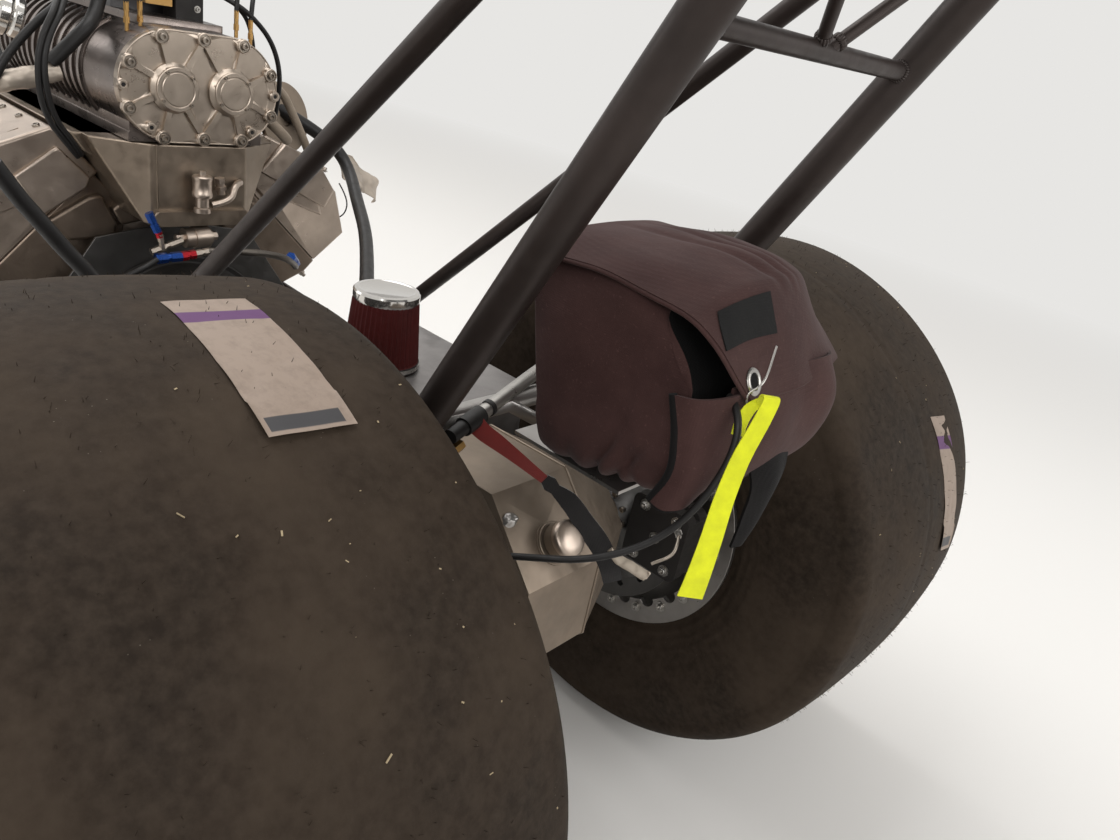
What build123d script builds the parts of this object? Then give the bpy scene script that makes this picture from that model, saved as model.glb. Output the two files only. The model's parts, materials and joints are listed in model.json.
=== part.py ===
from build123d import *
import os
from math import cos, pi, radians, sin, tan

# Rear-engined supercharged drag racing car.
# X runs forward, Y to the driver's left, Z up, and the ground is at Z = 0.
# The origin is on the ground in the middle of the car's overall box. All lengths are millimetres.

# Overall lengths
WHEELBASE = 7112
FRONT_OVERHANG = 640
REAR_OVERHANG = 900
OVERALL = WHEELBASE + FRONT_OVERHANG + REAR_OVERHANG
REAR_AXLE_X = REAR_OVERHANG - OVERALL / 2
FRONT_AXLE_X = REAR_AXLE_X + WHEELBASE
NOSE_TIP_X = FRONT_AXLE_X + FRONT_OVERHANG

# Rear wheels
SLICK_RADIUS = 438
SLICK_WIDTH = 432
SLICK_CENTRE_Y = 520
TREAD_CROWN = 13
RIM_RADIUS = 216
BEAD_RADIUS = 203
RIM_WIDTH = 420
RIM_WALL = 8

# Front wheels
FRONT_TYRE_RADIUS = 280
FRONT_TYRE_WIDTH = 95
FRONT_RIM_RADIUS = 222
FRONT_TRACK = 960
KINGPIN_Y = FRONT_TRACK / 2 - 55
SPOKE_COUNT = 8

# Rear axle
AXLE_TUBE_DIAMETER = 76
AXLE_TUBE_END_Y = 250
AXLE_SHAFT_DIAMETER = 50
AXLE_BORE_DIAMETER = 62
BEARING_LENGTH = 22
RUNNING_CLEARANCE = 0.05
BRAKE_DISC_DIAMETER = 300
BRAKE_DISC_THICKNESS = 10
BRAKE_DISC_Y = 262
SEAT_GAP = 0.3

# Chassis tubes
RAIL_DIAMETER = 32
WEB_DIAMETER = 22
CAGE_DIAMETER = 38
STRUT_DIAMETER = 41
BRACE_DIAMETER = 25.4
CROSSBAR_DIAMETER = 19
V_BRACE_DIAMETER = 12.7
PANEL = 3

# Engine
CRANK_Z = 400
BLOCK_REAR_X = REAR_AXLE_X + 950
BLOCK_LENGTH = 570
HEAD_REAR_X = REAR_AXLE_X + 980
HEAD_LENGTH = 520
DECK_HEIGHT = 230
HEAD_HEIGHT = 115
BLOWER_REAR_X = REAR_AXLE_X + 860
BLOWER_LENGTH = 540
BLOWER_FRONT_X = BLOWER_REAR_X + BLOWER_LENGTH
BLOWER_Z = 924
PULLEY_X = REAR_AXLE_X + 1540
LOBE_RADIUS = 92
LOBE_SPACING = 51
MANIFOLD_TOP_Z = 830
BLOWER_BASE_THICKNESS = 16
CASE_RIB_COUNT = 14
CASE_RIB = 10
CASE_RIB_HEIGHT = 6
CASE_RIB_START = 126
CASE_RIB_END = BLOWER_LENGTH - 36

# Ends of the rear, cockpit and front frames, ahead of the rear axle
TAIL = 40
COCKPIT_REAR = 1650
COCKPIT_LENGTH = 1700
DASH = COCKPIT_REAR + COCKPIT_LENGTH
NOSE = WHEELBASE + 138

# Chassis stations: distance ahead of the rear axle, half width, lower rail height, upper rail height
STATIONS = {
    "tail": (TAIL, 194, 111, 502),
    "bulkhead": (COCKPIT_REAR, 320, 96, 470),
    "dash": (DASH, 300, 96, 560),
    "nose": (NOSE, 140, 96, 330),
}


def station(name):
    """Returns x, half width, lower and upper rail height of a named chassis station."""
    x, half, low, high = STATIONS[name]
    return REAR_AXLE_X + x, half, low, high


def along(first, last, x):
    """Half width, lower and upper rail height at x between two stations."""
    x0, half0, low0, high0 = station(first)
    x1, half1, low1, high1 = station(last)
    t = (x - x0) / (x1 - x0)
    return half0 + (half1 - half0) * t, low0 + (low1 - low0) * t, high0 + (high1 - high0) * t


def tube(start, end, diameter, mode=Mode.ADD):
    """Adds or cuts a straight round tube from one point to another in the part being built."""
    run = Vector(*end) - Vector(*start)
    with BuildSketch(Plane(origin=start, z_dir=run)) as section:
        Circle(diameter / 2)
    extrude(section.sketch, amount=run.length, mode=mode)


def bent_tube(points, radius, diameter, mode=Mode.ADD):
    """Adds a tube along straight runs joined by arcs of one radius."""
    with BuildLine() as path:
        FilletPolyline(*points, radius=radius)
    start = Vector(*points[0])
    with BuildSketch(Plane(origin=start, z_dir=Vector(*points[1]) - start)) as section:
        Circle(diameter / 2)
    sweep(section.sketch, path=path.line, mode=mode)


def plate(plane, points, thickness, both=False, mode=Mode.ADD):
    """Adds a flat plate of the given outline, drawn in the plane's own coordinates."""
    with BuildSketch(plane) as outline:
        with BuildLine():
            Polyline(*points, close=True)
        make_face()
    extrude(outline.sketch, amount=thickness, both=both, mode=mode)


def side_plane(x, y, z, side=1):
    """Plane through a wheel's axis: its x runs outboard and its y runs up."""
    return Plane(origin=(x, y, z), x_dir=(0, side, 0), z_dir=(side, 0, 0))


def disc_plane(x, y, z, side=1):
    """Plane square to a wheel's axis, facing outboard, with its y up."""
    return Plane(origin=(x, y, z), x_dir=(-side, 0, 0), z_dir=(0, side, 0))


def bank_plane(x, side):
    """Section plane of one cylinder bank: its y runs up the bores and its x away from the valley."""
    lean = cos(radians(45))
    return Plane(origin=(x, 0, CRANK_Z), x_dir=(0, side * lean, -lean), z_dir=(side, 0, 0))


def cross_plane(x):
    """Section plane square to the car: its x runs to the left and its y up."""
    return Plane(origin=(x, 0, 0), x_dir=(0, 1, 0), z_dir=(1, 0, 0))


def finish(builder, name):
    """Labels a piece and writes it."""
    builder.part.label = name
    export_step(builder.part, f"parts/{name}.step")


os.makedirs("parts", exist_ok=True)


# Rear wheels and their solid axle, which turn as one

with BuildPart() as rear_slicks:
    half = SLICK_WIDTH / 2
    shoulder = half - 16
    for side in (1, -1):
        with BuildSketch(side_plane(REAR_AXLE_X, side * SLICK_CENTRE_Y, SLICK_RADIUS, side)) as profile:
            with BuildLine():
                crown = ThreePointArc(
                    (-shoulder, SLICK_RADIUS - TREAD_CROWN), (0, SLICK_RADIUS),
                    (shoulder, SLICK_RADIUS - TREAD_CROWN),
                )
                right = ThreePointArc(crown @ 1, (half - 1, SLICK_RADIUS - 23), (half + 6, SLICK_RADIUS - 50))
                wall = ThreePointArc(right @ 1, (half + 11, 320), (RIM_WIDTH / 2 - 10, RIM_RADIUS + 4))
                Line(wall @ 1, (RIM_WIDTH / 2 - 12, BEAD_RADIUS + SEAT_GAP))
                Line((RIM_WIDTH / 2 - 12, BEAD_RADIUS + SEAT_GAP), (-RIM_WIDTH / 2 + 12, BEAD_RADIUS + SEAT_GAP))
                Line((-RIM_WIDTH / 2 + 12, BEAD_RADIUS + SEAT_GAP), (-RIM_WIDTH / 2 + 10, RIM_RADIUS + 4))
                left_wall = ThreePointArc(
                    (-RIM_WIDTH / 2 + 10, RIM_RADIUS + 4), (-half - 11, 320), (-half - 6, SLICK_RADIUS - 50)
                )
                ThreePointArc(left_wall @ 1, (-half + 1, SLICK_RADIUS - 23), crown @ 0)
            make_face()
        revolve(axis=Axis((REAR_AXLE_X, 0, SLICK_RADIUS), (0, 1, 0)))
finish(rear_slicks, "rear_slicks")

# Deep two-flanged rims with a holed centre near the outer end and a splined hub
WEB_OUT = 96
HUB_FACE = 120
RING_LOBES = 22

with BuildPart() as rear_rims:
    half = RIM_WIDTH / 2
    barrel = BEAD_RADIUS - RIM_WALL
    for side in (1, -1):
        with BuildSketch(side_plane(REAR_AXLE_X, side * SLICK_CENTRE_Y, SLICK_RADIUS, side)):
            with BuildLine():
                Polyline(
                    (-half, barrel), (half, barrel), (half, RIM_RADIUS), (half - 8, RIM_RADIUS),
                    (half - 11.5, BEAD_RADIUS), (-half + 11.5, BEAD_RADIUS), (-half + 8, RIM_RADIUS),
                    (-half, RIM_RADIUS), close=True,
                )
            make_face()
            with BuildLine():
                Polyline(
                    (WEB_OUT - 12, barrel), (WEB_OUT, barrel), (HUB_FACE, 84), (HUB_FACE, AXLE_SHAFT_DIAMETER / 2),
                    (HUB_FACE - 26, AXLE_SHAFT_DIAMETER / 2), (HUB_FACE - 26, 80), close=True,
                )
            make_face()
        revolve(axis=Axis((REAR_AXLE_X, 0, SLICK_RADIUS), (0, 1, 0)))
        hub = disc_plane(REAR_AXLE_X, side * (SLICK_CENTRE_Y - half), SLICK_RADIUS, side)
        with BuildSketch(hub):
            with PolarLocations(138, 8):
                Circle(22)
        extrude(amount=SLICK_WIDTH, mode=Mode.SUBTRACT)
        ring = disc_plane(REAR_AXLE_X, side * (SLICK_CENTRE_Y - half), SLICK_RADIUS, side)
        with BuildSketch(ring):
            Circle(BEAD_RADIUS - 2)
            Circle(BEAD_RADIUS - 30, mode=Mode.SUBTRACT)
            with PolarLocations(BEAD_RADIUS - 30, RING_LOBES, start_angle=180 / RING_LOBES):
                Circle(13, mode=Mode.SUBTRACT)
        extrude(amount=9)
finish(rear_rims, "rear_rims")

HUB_OUTER_Y = SLICK_CENTRE_Y + HUB_FACE

with BuildPart() as rear_axle_shaft:
    tube(
        (REAR_AXLE_X, -HUB_OUTER_Y - 12, SLICK_RADIUS), (REAR_AXLE_X, HUB_OUTER_Y + 12, SLICK_RADIUS),
        AXLE_SHAFT_DIAMETER - 2 * RUNNING_CLEARANCE,
    )
    for side in (1, -1):
        with BuildSketch(disc_plane(REAR_AXLE_X, side * BRAKE_DISC_Y, SLICK_RADIUS, side)):
            Circle(BRAKE_DISC_DIAMETER / 2)
            with PolarLocations(BRAKE_DISC_DIAMETER / 2 - 24, 18):
                Circle(6, mode=Mode.SUBTRACT)
        extrude(amount=BRAKE_DISC_THICKNESS)
        with BuildSketch(disc_plane(REAR_AXLE_X, side * (BRAKE_DISC_Y - 4), SLICK_RADIUS, side)):
            Circle(50)
        extrude(amount=30)
finish(rear_axle_shaft, "rear_axle_shaft")


# Rear axle housing: a folded plate casing that tapers to the axle tubes

# Outline of the casing's middle, from the axle's centre: ahead, above
CASING = (
    (88, 110), (56, 188), (-86, 192), (-170, 100), (-170, -20), (-120, -70), (-40, -120), (46, -150), (88, -96),
)
CASING_RIGHT_Y = -16
CASING_LEFT_Y = 116
CASING_END_Y = 166
CASING_RIGHT_SCALE = 0.58
CASING_LEFT_SCALE = 0.33
FILLER_Y = 51
FILLER_CAP = 46

with BuildPart() as axle_housing:
    sections = (
        (-CASING_END_Y, CASING_RIGHT_SCALE), (CASING_RIGHT_Y, 1), (CASING_LEFT_Y, 1),
        (CASING_END_Y, CASING_LEFT_SCALE),
    )
    for (y0, scale0), (y1, scale1) in zip(sections, sections[1:]):
        for y, scale in ((y0, scale0), (y1, scale1)):
            with BuildSketch(Plane(origin=(REAR_AXLE_X, y, SLICK_RADIUS), x_dir=(1, 0, 0), z_dir=(0, -1, 0))):
                with BuildLine():
                    Polyline(*[(ahead * scale, up * scale) for ahead, up in CASING], close=True)
                make_face()
        loft(ruled=True)
    tube(
        (REAR_AXLE_X, -AXLE_TUBE_END_Y, SLICK_RADIUS), (REAR_AXLE_X, AXLE_TUBE_END_Y, SLICK_RADIUS),
        AXLE_TUBE_DIAMETER,
    )
    tube(
        (REAR_AXLE_X + 60, 0, CRANK_Z), (REAR_AXLE_X + 190, 0, CRANK_Z), 120,
    )
    tube(
        (REAR_AXLE_X, -AXLE_TUBE_END_Y, SLICK_RADIUS), (REAR_AXLE_X, AXLE_TUBE_END_Y, SLICK_RADIUS),
        AXLE_SHAFT_DIAMETER, mode=Mode.SUBTRACT,
    )
    bore_half = AXLE_TUBE_END_Y - BEARING_LENGTH
    tube(
        (REAR_AXLE_X, -bore_half, SLICK_RADIUS), (REAR_AXLE_X, bore_half, SLICK_RADIUS),
        AXLE_BORE_DIAMETER, mode=Mode.SUBTRACT,
    )
    # Filler neck on the slope behind the axle
    slope = Vector(-92, 0, 84).normalized()
    neck = Vector(REAR_AXLE_X - 141, FILLER_Y, SLICK_RADIUS + 131)
    tube(tuple(neck - slope * 4), tuple(neck + slope * 3), FILLER_CAP + 10)
    tube(tuple(neck + slope * 3), tuple(neck + slope * 10), FILLER_CAP - 8)
    tube(tuple(neck + slope * 10), tuple(neck + slope * 24), FILLER_CAP)
finish(axle_housing, "axle_housing")

CALIPER_BACK = 62
CALIPER_DEPTH = 104
CALIPER_HEIGHT = 118
CALIPER_THICKNESS = 20

with BuildPart() as brake_calipers:
    for side in (1, -1):
        disc_in = BRAKE_DISC_Y - SEAT_GAP
        disc_out = BRAKE_DISC_Y + BRAKE_DISC_THICKNESS + SEAT_GAP
        back = REAR_AXLE_X - CALIPER_BACK
        for start, direction in ((disc_in, -side), (disc_out, side)):
            with BuildSketch(disc_plane(back - CALIPER_DEPTH / 2, side * start, SLICK_RADIUS + 18, direction)):
                RectangleRounded(CALIPER_DEPTH, CALIPER_HEIGHT, 14)
            extrude(amount=CALIPER_THICKNESS)
        bridge = disc_plane(
            REAR_AXLE_X - BRAKE_DISC_DIAMETER / 2 - 8.5, side * (disc_in - CALIPER_THICKNESS),
            SLICK_RADIUS + 18, side,
        )
        with BuildSketch(bridge):
            Rectangle(15, CALIPER_HEIGHT - 24)
        extrude(amount=2 * CALIPER_THICKNESS + BRAKE_DISC_THICKNESS + 2 * SEAT_GAP)
finish(brake_calipers, "brake_calipers")

DRIVE_TUBE_DIAMETER = 90
PINION_NOSE_X = REAR_AXLE_X + 190
CAN_REAR_X = BLOCK_REAR_X - 250
REVERSER_REAR_X = CAN_REAR_X - 200

with BuildPart() as drive_coupler:
    tube((PINION_NOSE_X, 0, CRANK_Z), (REVERSER_REAR_X, 0, CRANK_Z), DRIVE_TUBE_DIAMETER)
    tube((PINION_NOSE_X, 0, CRANK_Z), (PINION_NOSE_X + 14, 0, CRANK_Z), DRIVE_TUBE_DIAMETER + 26)
    tube((REVERSER_REAR_X - 14, 0, CRANK_Z), (REVERSER_REAR_X, 0, CRANK_Z), DRIVE_TUBE_DIAMETER + 26)
finish(drive_coupler, "drive_coupler")

with BuildPart() as clutch_can:
    with BuildSketch(Plane.XZ.offset(0)):
        with BuildLine():
            Polyline(
                (REVERSER_REAR_X, CRANK_Z), (REVERSER_REAR_X, CRANK_Z + 86), (REVERSER_REAR_X + 24, CRANK_Z + 108),
                (CAN_REAR_X, CRANK_Z + 108), (CAN_REAR_X, CRANK_Z + 150), (CAN_REAR_X + 30, CRANK_Z + 162),
                (BLOCK_REAR_X - 20, CRANK_Z + 186), (BLOCK_REAR_X - 20, CRANK_Z + 200),
                (BLOCK_REAR_X - 6, CRANK_Z + 200), (BLOCK_REAR_X - 6, CRANK_Z), close=True,
            )
        make_face()
    revolve(axis=Axis((0, 0, CRANK_Z), (1, 0, 0)))
finish(clutch_can, "clutch_can")


# Tube frame

RAIL_OVERRUN = 6


def rail(first, last, side, level, diameter=RAIL_DIAMETER, mode=Mode.ADD):
    """Adds or cuts one rail between two stations, run on a little past both; level is low or high."""
    ends = []
    for x in (station(first)[0] - RAIL_OVERRUN, station(last)[0] + RAIL_OVERRUN):
        half, low, high = along(first, last, x)
        ends.append((x, side * half, low if level == "low" else high))
    tube(ends[0], ends[1], diameter, mode)


def clear_rails(first, last, levels=("high",)):
    """Cuts the rails, with a fitting gap, out of the part being built."""
    for side in (1, -1):
        for level in levels:
            rail(first, last, side, level, RAIL_DIAMETER + 2 * SEAT_GAP, Mode.SUBTRACT)


def trim(name, direction):
    """Cuts the part being built off square past a station, ahead of it or behind it."""
    with BuildSketch(Plane(origin=(station(name)[0], 0, 0), z_dir=(direction, 0, 0))) as cut:
        Rectangle(2400, 2400)
    extrude(cut.sketch, amount=60, mode=Mode.SUBTRACT)


def side_truss(first, last, side, stops, diagonals):
    """One flat side of the frame: two rails with uprights at the stops and diagonals between them."""
    rail(first, last, side, "low")
    rail(first, last, side, "high")
    for stop in stops:
        half, low, high = along(first, last, REAR_AXLE_X + stop)
        tube((REAR_AXLE_X + stop, side * half, low), (REAR_AXLE_X + stop, side * half, high), WEB_DIAMETER)
    for low_stop, high_stop in diagonals:
        half_a, low_a, _ = along(first, last, REAR_AXLE_X + low_stop)
        half_b, _, high_b = along(first, last, REAR_AXLE_X + high_stop)
        tube(
            (REAR_AXLE_X + low_stop, side * half_a, low_a), (REAR_AXLE_X + high_stop, side * half_b, high_b),
            WEB_DIAMETER,
        )


REAR_STOPS = (TAIL + 12, 420, 720, 1100, COCKPIT_REAR - 12)
REAR_DIAGONALS = ((420, TAIL + 12), (420, 720), (1100, 720), (1100, COCKPIT_REAR - 12))
COCKPIT_STOPS = (COCKPIT_REAR + 12, COCKPIT_REAR + 400, COCKPIT_REAR + 850, DASH - 350, DASH - 12)
COCKPIT_DIAGONALS = (
    (COCKPIT_STOPS[1], COCKPIT_STOPS[0]), (COCKPIT_STOPS[1], COCKPIT_STOPS[2]), (COCKPIT_STOPS[3], COCKPIT_STOPS[2]),
)
FRONT_BAY_COUNT = 6
FRONT_BAY = (NOSE - 300 - DASH - 12) / FRONT_BAY_COUNT
FRONT_STOPS = [DASH + 12 + FRONT_BAY * number for number in range(FRONT_BAY_COUNT + 1)]
FRONT_STOPS.append(NOSE - 12)
FRONT_DIAGONALS = [(FRONT_STOPS[number + 1], FRONT_STOPS[number]) for number in range(FRONT_BAY_COUNT)]

with BuildPart() as rear_frame:
    for side in (1, -1):
        side_truss("tail", "bulkhead", side, REAR_STOPS, REAR_DIAGONALS)
    trim("bulkhead", 1)
finish(rear_frame, "rear_frame")

with BuildPart() as cockpit_frame:
    for side in (1, -1):
        side_truss("bulkhead", "dash", side, COCKPIT_STOPS, COCKPIT_DIAGONALS)
    trim("bulkhead", -1)
    trim("dash", 1)
finish(cockpit_frame, "cockpit_frame")

with BuildPart() as front_frame:
    for side in (1, -1):
        side_truss("dash", "nose", side, FRONT_STOPS, FRONT_DIAGONALS)
        half, low, high = along("dash", "nose", FRONT_AXLE_X)
        axle_plate = disc_plane(FRONT_AXLE_X, side * half, (low + high) / 2, 1)
        with BuildSketch(axle_plate):
            Rectangle(90, high - low)
        extrude(amount=5, both=True)
    tube(
        (FRONT_AXLE_X, -300, FRONT_TYRE_RADIUS), (FRONT_AXLE_X, 300, FRONT_TYRE_RADIUS),
        CAGE_DIAMETER + 2 * SEAT_GAP, mode=Mode.SUBTRACT,
    )
    trim("dash", -1)
    trim("nose", 1)
finish(front_frame, "front_frame")

# Cross members: distance ahead of the rear axle, stations it lies between, rail it joins
CROSS_MEMBERS = (
    (TAIL + 12, "tail", "bulkhead", "low"),
    (250, "tail", "bulkhead", "high"),
    (420, "tail", "bulkhead", "low"),
    (900, "tail", "bulkhead", "low"),
    (COCKPIT_REAR - 12, "tail", "bulkhead", "low"),
    (COCKPIT_STOPS[2], "bulkhead", "dash", "low"),
    (DASH - 12, "bulkhead", "dash", "low"),
    (DASH - 12, "bulkhead", "dash", "high"),
    (FRONT_STOPS[3], "dash", "nose", "low"),
    (FRONT_STOPS[6], "dash", "nose", "low"),
    (FRONT_STOPS[6], "dash", "nose", "high"),
    (FRONT_STOPS[-1], "dash", "nose", "low"),
    (FRONT_STOPS[-1], "dash", "nose", "high"),
)

with BuildPart() as cross_members:
    for stop, first, last, level in CROSS_MEMBERS:
        x = REAR_AXLE_X + stop
        half, low, high = along(first, last, x)
        z = low if level == "low" else high
        tube((x, -half, z), (x, half, z), WEB_DIAMETER)
    for first, last in (("tail", "bulkhead"), ("bulkhead", "dash"), ("dash", "nose")):
        clear_rails(first, last, ("low", "high"))
finish(cross_members, "cross_members")

AXLE_PLATE = 8

with BuildPart() as axle_plates:
    for side in (1, -1):
        half, low, high = along("tail", "bulkhead", REAR_AXLE_X)
        ahead = TAIL + 12 - WEB_DIAMETER / 2 - SEAT_GAP
        behind = AXLE_TUBE_DIAMETER / 2 + 24
        plate_plane = disc_plane(REAR_AXLE_X + (ahead - behind) / 2, side * half, SLICK_RADIUS - 6, side)
        with BuildSketch(plate_plane):
            Rectangle(ahead + behind, 2 * (high - SLICK_RADIUS - RAIL_DIAMETER / 2) - 2)
        extrude(amount=AXLE_PLATE / 2, both=True)
        tube(
            (REAR_AXLE_X, side * (half - AXLE_PLATE), SLICK_RADIUS),
            (REAR_AXLE_X, side * (half + AXLE_PLATE), SLICK_RADIUS),
            AXLE_TUBE_DIAMETER + 2 * SEAT_GAP, mode=Mode.SUBTRACT,
        )
finish(axle_plates, "axle_plates")


# Wing struts, their braces and the wing

STRUT_FOOT = (80, 194, 500)
STRUT_TOP = (-522, 205, 1600)
BRACE_FOOT = (667, 247, 489)
BRACE_TOP_Z = 1545
CROSSBAR_Z = 1158
V_TOP_Z = 1370


def on_strut(z, side):
    """Point on a strut's centreline at height z."""
    t = (z - STRUT_FOOT[2]) / (STRUT_TOP[2] - STRUT_FOOT[2])
    x = REAR_AXLE_X + STRUT_FOOT[0] + (STRUT_TOP[0] - STRUT_FOOT[0]) * t
    return (x, side * (STRUT_FOOT[1] + (STRUT_TOP[1] - STRUT_FOOT[1]) * t), z)


with BuildPart() as wing_braces:
    for side in (1, -1):
        foot = (REAR_AXLE_X + BRACE_FOOT[0], side * BRACE_FOOT[1], BRACE_FOOT[2])
        tube(foot, on_strut(BRACE_TOP_Z, side), BRACE_DIAMETER)
    clear_rails("tail", "bulkhead")
    tube(on_strut(CROSSBAR_Z, 1), on_strut(CROSSBAR_Z, -1), CROSSBAR_DIAMETER)
    middle_x, _, _ = on_strut(CROSSBAR_Z, 1)
    for side in (1, -1):
        tube((middle_x, side * 6, CROSSBAR_Z), on_strut(V_TOP_Z, side), V_BRACE_DIAMETER)
    for side in (1, -1):
        tube(on_strut(1000, side), on_strut(STRUT_TOP[2], side), STRUT_DIAMETER + 2 * SEAT_GAP, mode=Mode.SUBTRACT)
finish(wing_braces, "wing_braces")

WING_SPAN = 1480
WING_Z = 1668
WING_CHORD = 440
WING_NOSE_X = REAR_AXLE_X - REAR_OVERHANG + 700
FLAP_CHORD = 230
END_PLATE = 4
WING_TILT = 12


def airfoil(chord, depth):
    """Draws an upside-down wing section, nose at the origin and tail at minus chord, from four arcs."""
    with BuildLine() as section:
        belly = ThreePointArc((0, 0), (-0.06 * chord, -0.55 * depth), (-0.3 * chord, -depth))
        tail = ThreePointArc(belly @ 1, (-0.7 * chord, -0.55 * depth), (-chord, 0.02 * chord))
        Line(tail @ 1, (-chord, 0.02 * chord + 3))
        top = ThreePointArc((-chord, 0.02 * chord + 3), (-0.5 * chord, 0.02 * depth), (-0.04 * chord, 0.22 * depth))
        ThreePointArc(top @ 1, (-0.008 * chord, 0.13 * depth), (0, 0))
    make_face(section.edges())


def wing_plane(x, z, tilt):
    """Section plane of a wing element, leaning tail up by tilt degrees."""
    return Plane(
        origin=(x, WING_SPAN / 2 - END_PLATE - SEAT_GAP, z),
        x_dir=(cos(radians(tilt)), 0, -sin(radians(tilt))), z_dir=(0, -1, 0),
    )


FLAP_TILT = 38
FLAP_NOSE_X = REAR_AXLE_X - REAR_OVERHANG + 262
FLAP_NOSE_Z = WING_Z + 118

# Elements of the rear wing: x and z of the nose, tilt, chord, depth
WING_ELEMENTS = (
    (WING_NOSE_X, WING_Z, WING_TILT, WING_CHORD, 58),
    (FLAP_NOSE_X, FLAP_NOSE_Z, FLAP_TILT, FLAP_CHORD, 26),
)

with BuildPart() as rear_wing:
    for nose_x, nose_z, tilt, chord, depth in WING_ELEMENTS:
        with BuildSketch(wing_plane(nose_x, nose_z, tilt)):
            airfoil(chord, depth)
        extrude(amount=WING_SPAN - 2 * (END_PLATE + SEAT_GAP))
finish(rear_wing, "rear_wing")

with BuildPart() as wing_end_plates:
    for side in (1, -1):
        plate(
            Plane(origin=(REAR_AXLE_X - REAR_OVERHANG, side * (WING_SPAN / 2), 0), x_dir=(1, 0, 0),
                  z_dir=(0, -1, 0)),
            (
                (0, WING_Z - 28), (150, WING_Z - 108), (700, WING_Z - 108), (730, WING_Z - 48),
                (690, WING_Z + 132), (420, WING_Z + 322), (0, WING_Z + 322),
            ),
            side * END_PLATE,
        )
finish(wing_end_plates, "wing_end_plates")

# Struts, each with a plate on top that the wing sits on
with BuildPart() as wing_struts:
    for side in (1, -1):
        tube(on_strut(STRUT_FOOT[2] + 12, side), on_strut(STRUT_TOP[2], side), STRUT_DIAMETER)
        x, y, z = on_strut(STRUT_TOP[2], side)
        plate(
            Plane(origin=(0, y - 4, 0), x_dir=(1, 0, 0), z_dir=(0, -1, 0)),
            ((x - 20, z - 40), (x + 22, z - 40), (x + 190, z + 60), (x - 100, z + 100)), -8,
        )
    clear_rails("tail", "bulkhead")
    with BuildSketch(wing_plane(WING_NOSE_X, WING_Z, WING_TILT)):
        airfoil(WING_CHORD, 58)
    extrude(amount=WING_SPAN, mode=Mode.SUBTRACT)
finish(wing_struts, "wing_struts")


# Parachute pack behind the axle, with its mount

PACK_FRONT_X = REAR_AXLE_X - 112
PACK_REAR_X = REAR_AXLE_X - 345
PACK_HALF_WIDTH = 155
PACK_BOTTOM_Z = 730
PACK_TOP_Z = 965

with BuildPart() as parachute_pack:
    with BuildSketch(Plane.XZ.offset(-PACK_HALF_WIDTH)):
        with BuildLine():
            Polyline(
                (PACK_FRONT_X - 30, PACK_BOTTOM_Z), (PACK_FRONT_X - 150, PACK_BOTTOM_Z),
                (PACK_REAR_X + 10, PACK_BOTTOM_Z + 20),
                (PACK_REAR_X, PACK_TOP_Z - 90), (PACK_REAR_X + 70, PACK_TOP_Z - 4), (PACK_FRONT_X - 40, PACK_TOP_Z),
                (PACK_FRONT_X, PACK_TOP_Z - 60), close=True,
            )
        make_face()
    extrude(amount=2 * PACK_HALF_WIDTH)
finish(parachute_pack, "parachute_pack")

# Release cable: from the left strut round the pack to its rear face
CABLE_DIAMETER = 7
CABLE_FOOT_Z = 622
strut_x, strut_y, strut_z = on_strut(CABLE_FOOT_Z, 1)
CABLE_ROUTE = (
    (strut_x, strut_y + (STRUT_DIAMETER + CABLE_DIAMETER) / 2 - 0.2, strut_z),
    (REAR_AXLE_X - 12, 236, 628),
    (REAR_AXLE_X - 60, 254, 640),
    (REAR_AXLE_X - 115, 263, 651),
    (REAR_AXLE_X - 168, 262, 660),
    (REAR_AXLE_X - 207, 250, 668),
    (REAR_AXLE_X - 246, 226, 679),
    (REAR_AXLE_X - 285, 203, 690),
    (REAR_AXLE_X - 318, 182, 710),
    (REAR_AXLE_X - 345, 158, 738),
    (REAR_AXLE_X - 366, 146, 785),
    (REAR_AXLE_X - 375, 136, 835),
    (PACK_REAR_X - 19, 128, 868),
    (PACK_REAR_X - 1.7, 119, 872),
)


def cord_radii(points):
    """Radius of each arc of a cord's path, as large as the two runs beside it allow."""
    radii = []
    for before, corner, after in zip(points, points[1:], points[2:]):
        arriving = Vector(*corner) - Vector(*before)
        leaving = Vector(*after) - Vector(*corner)
        half_turn = radians(arriving.get_angle(leaving) / 2)
        radii.append(0.45 * min(arriving.length, leaving.length) / tan(half_turn))
    return radii


CABLE_RADII = cord_radii(CABLE_ROUTE)

with BuildPart() as release_cable:
    with BuildLine() as cable_path:
        FilletPolyline(*CABLE_ROUTE, radius=CABLE_RADII)
    with BuildSketch(Plane(origin=CABLE_ROUTE[0], z_dir=Vector(*CABLE_ROUTE[1]) - Vector(*CABLE_ROUTE[0]))):
        Circle(CABLE_DIAMETER / 2)
    sweep(path=cable_path.line)
finish(release_cable, "release_cable")
cable_volume = pi * CABLE_DIAMETER**2 / 4 * cable_path.wire().length
print("release cable arcs", [round(radius) for radius in CABLE_RADII])
print("release cable volume over section times length", round(release_cable.part.volume / cable_volume, 4))

MOUNT_TRAY = 4
MOUNT_Z = PACK_BOTTOM_Z - MOUNT_TRAY - SEAT_GAP

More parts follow.
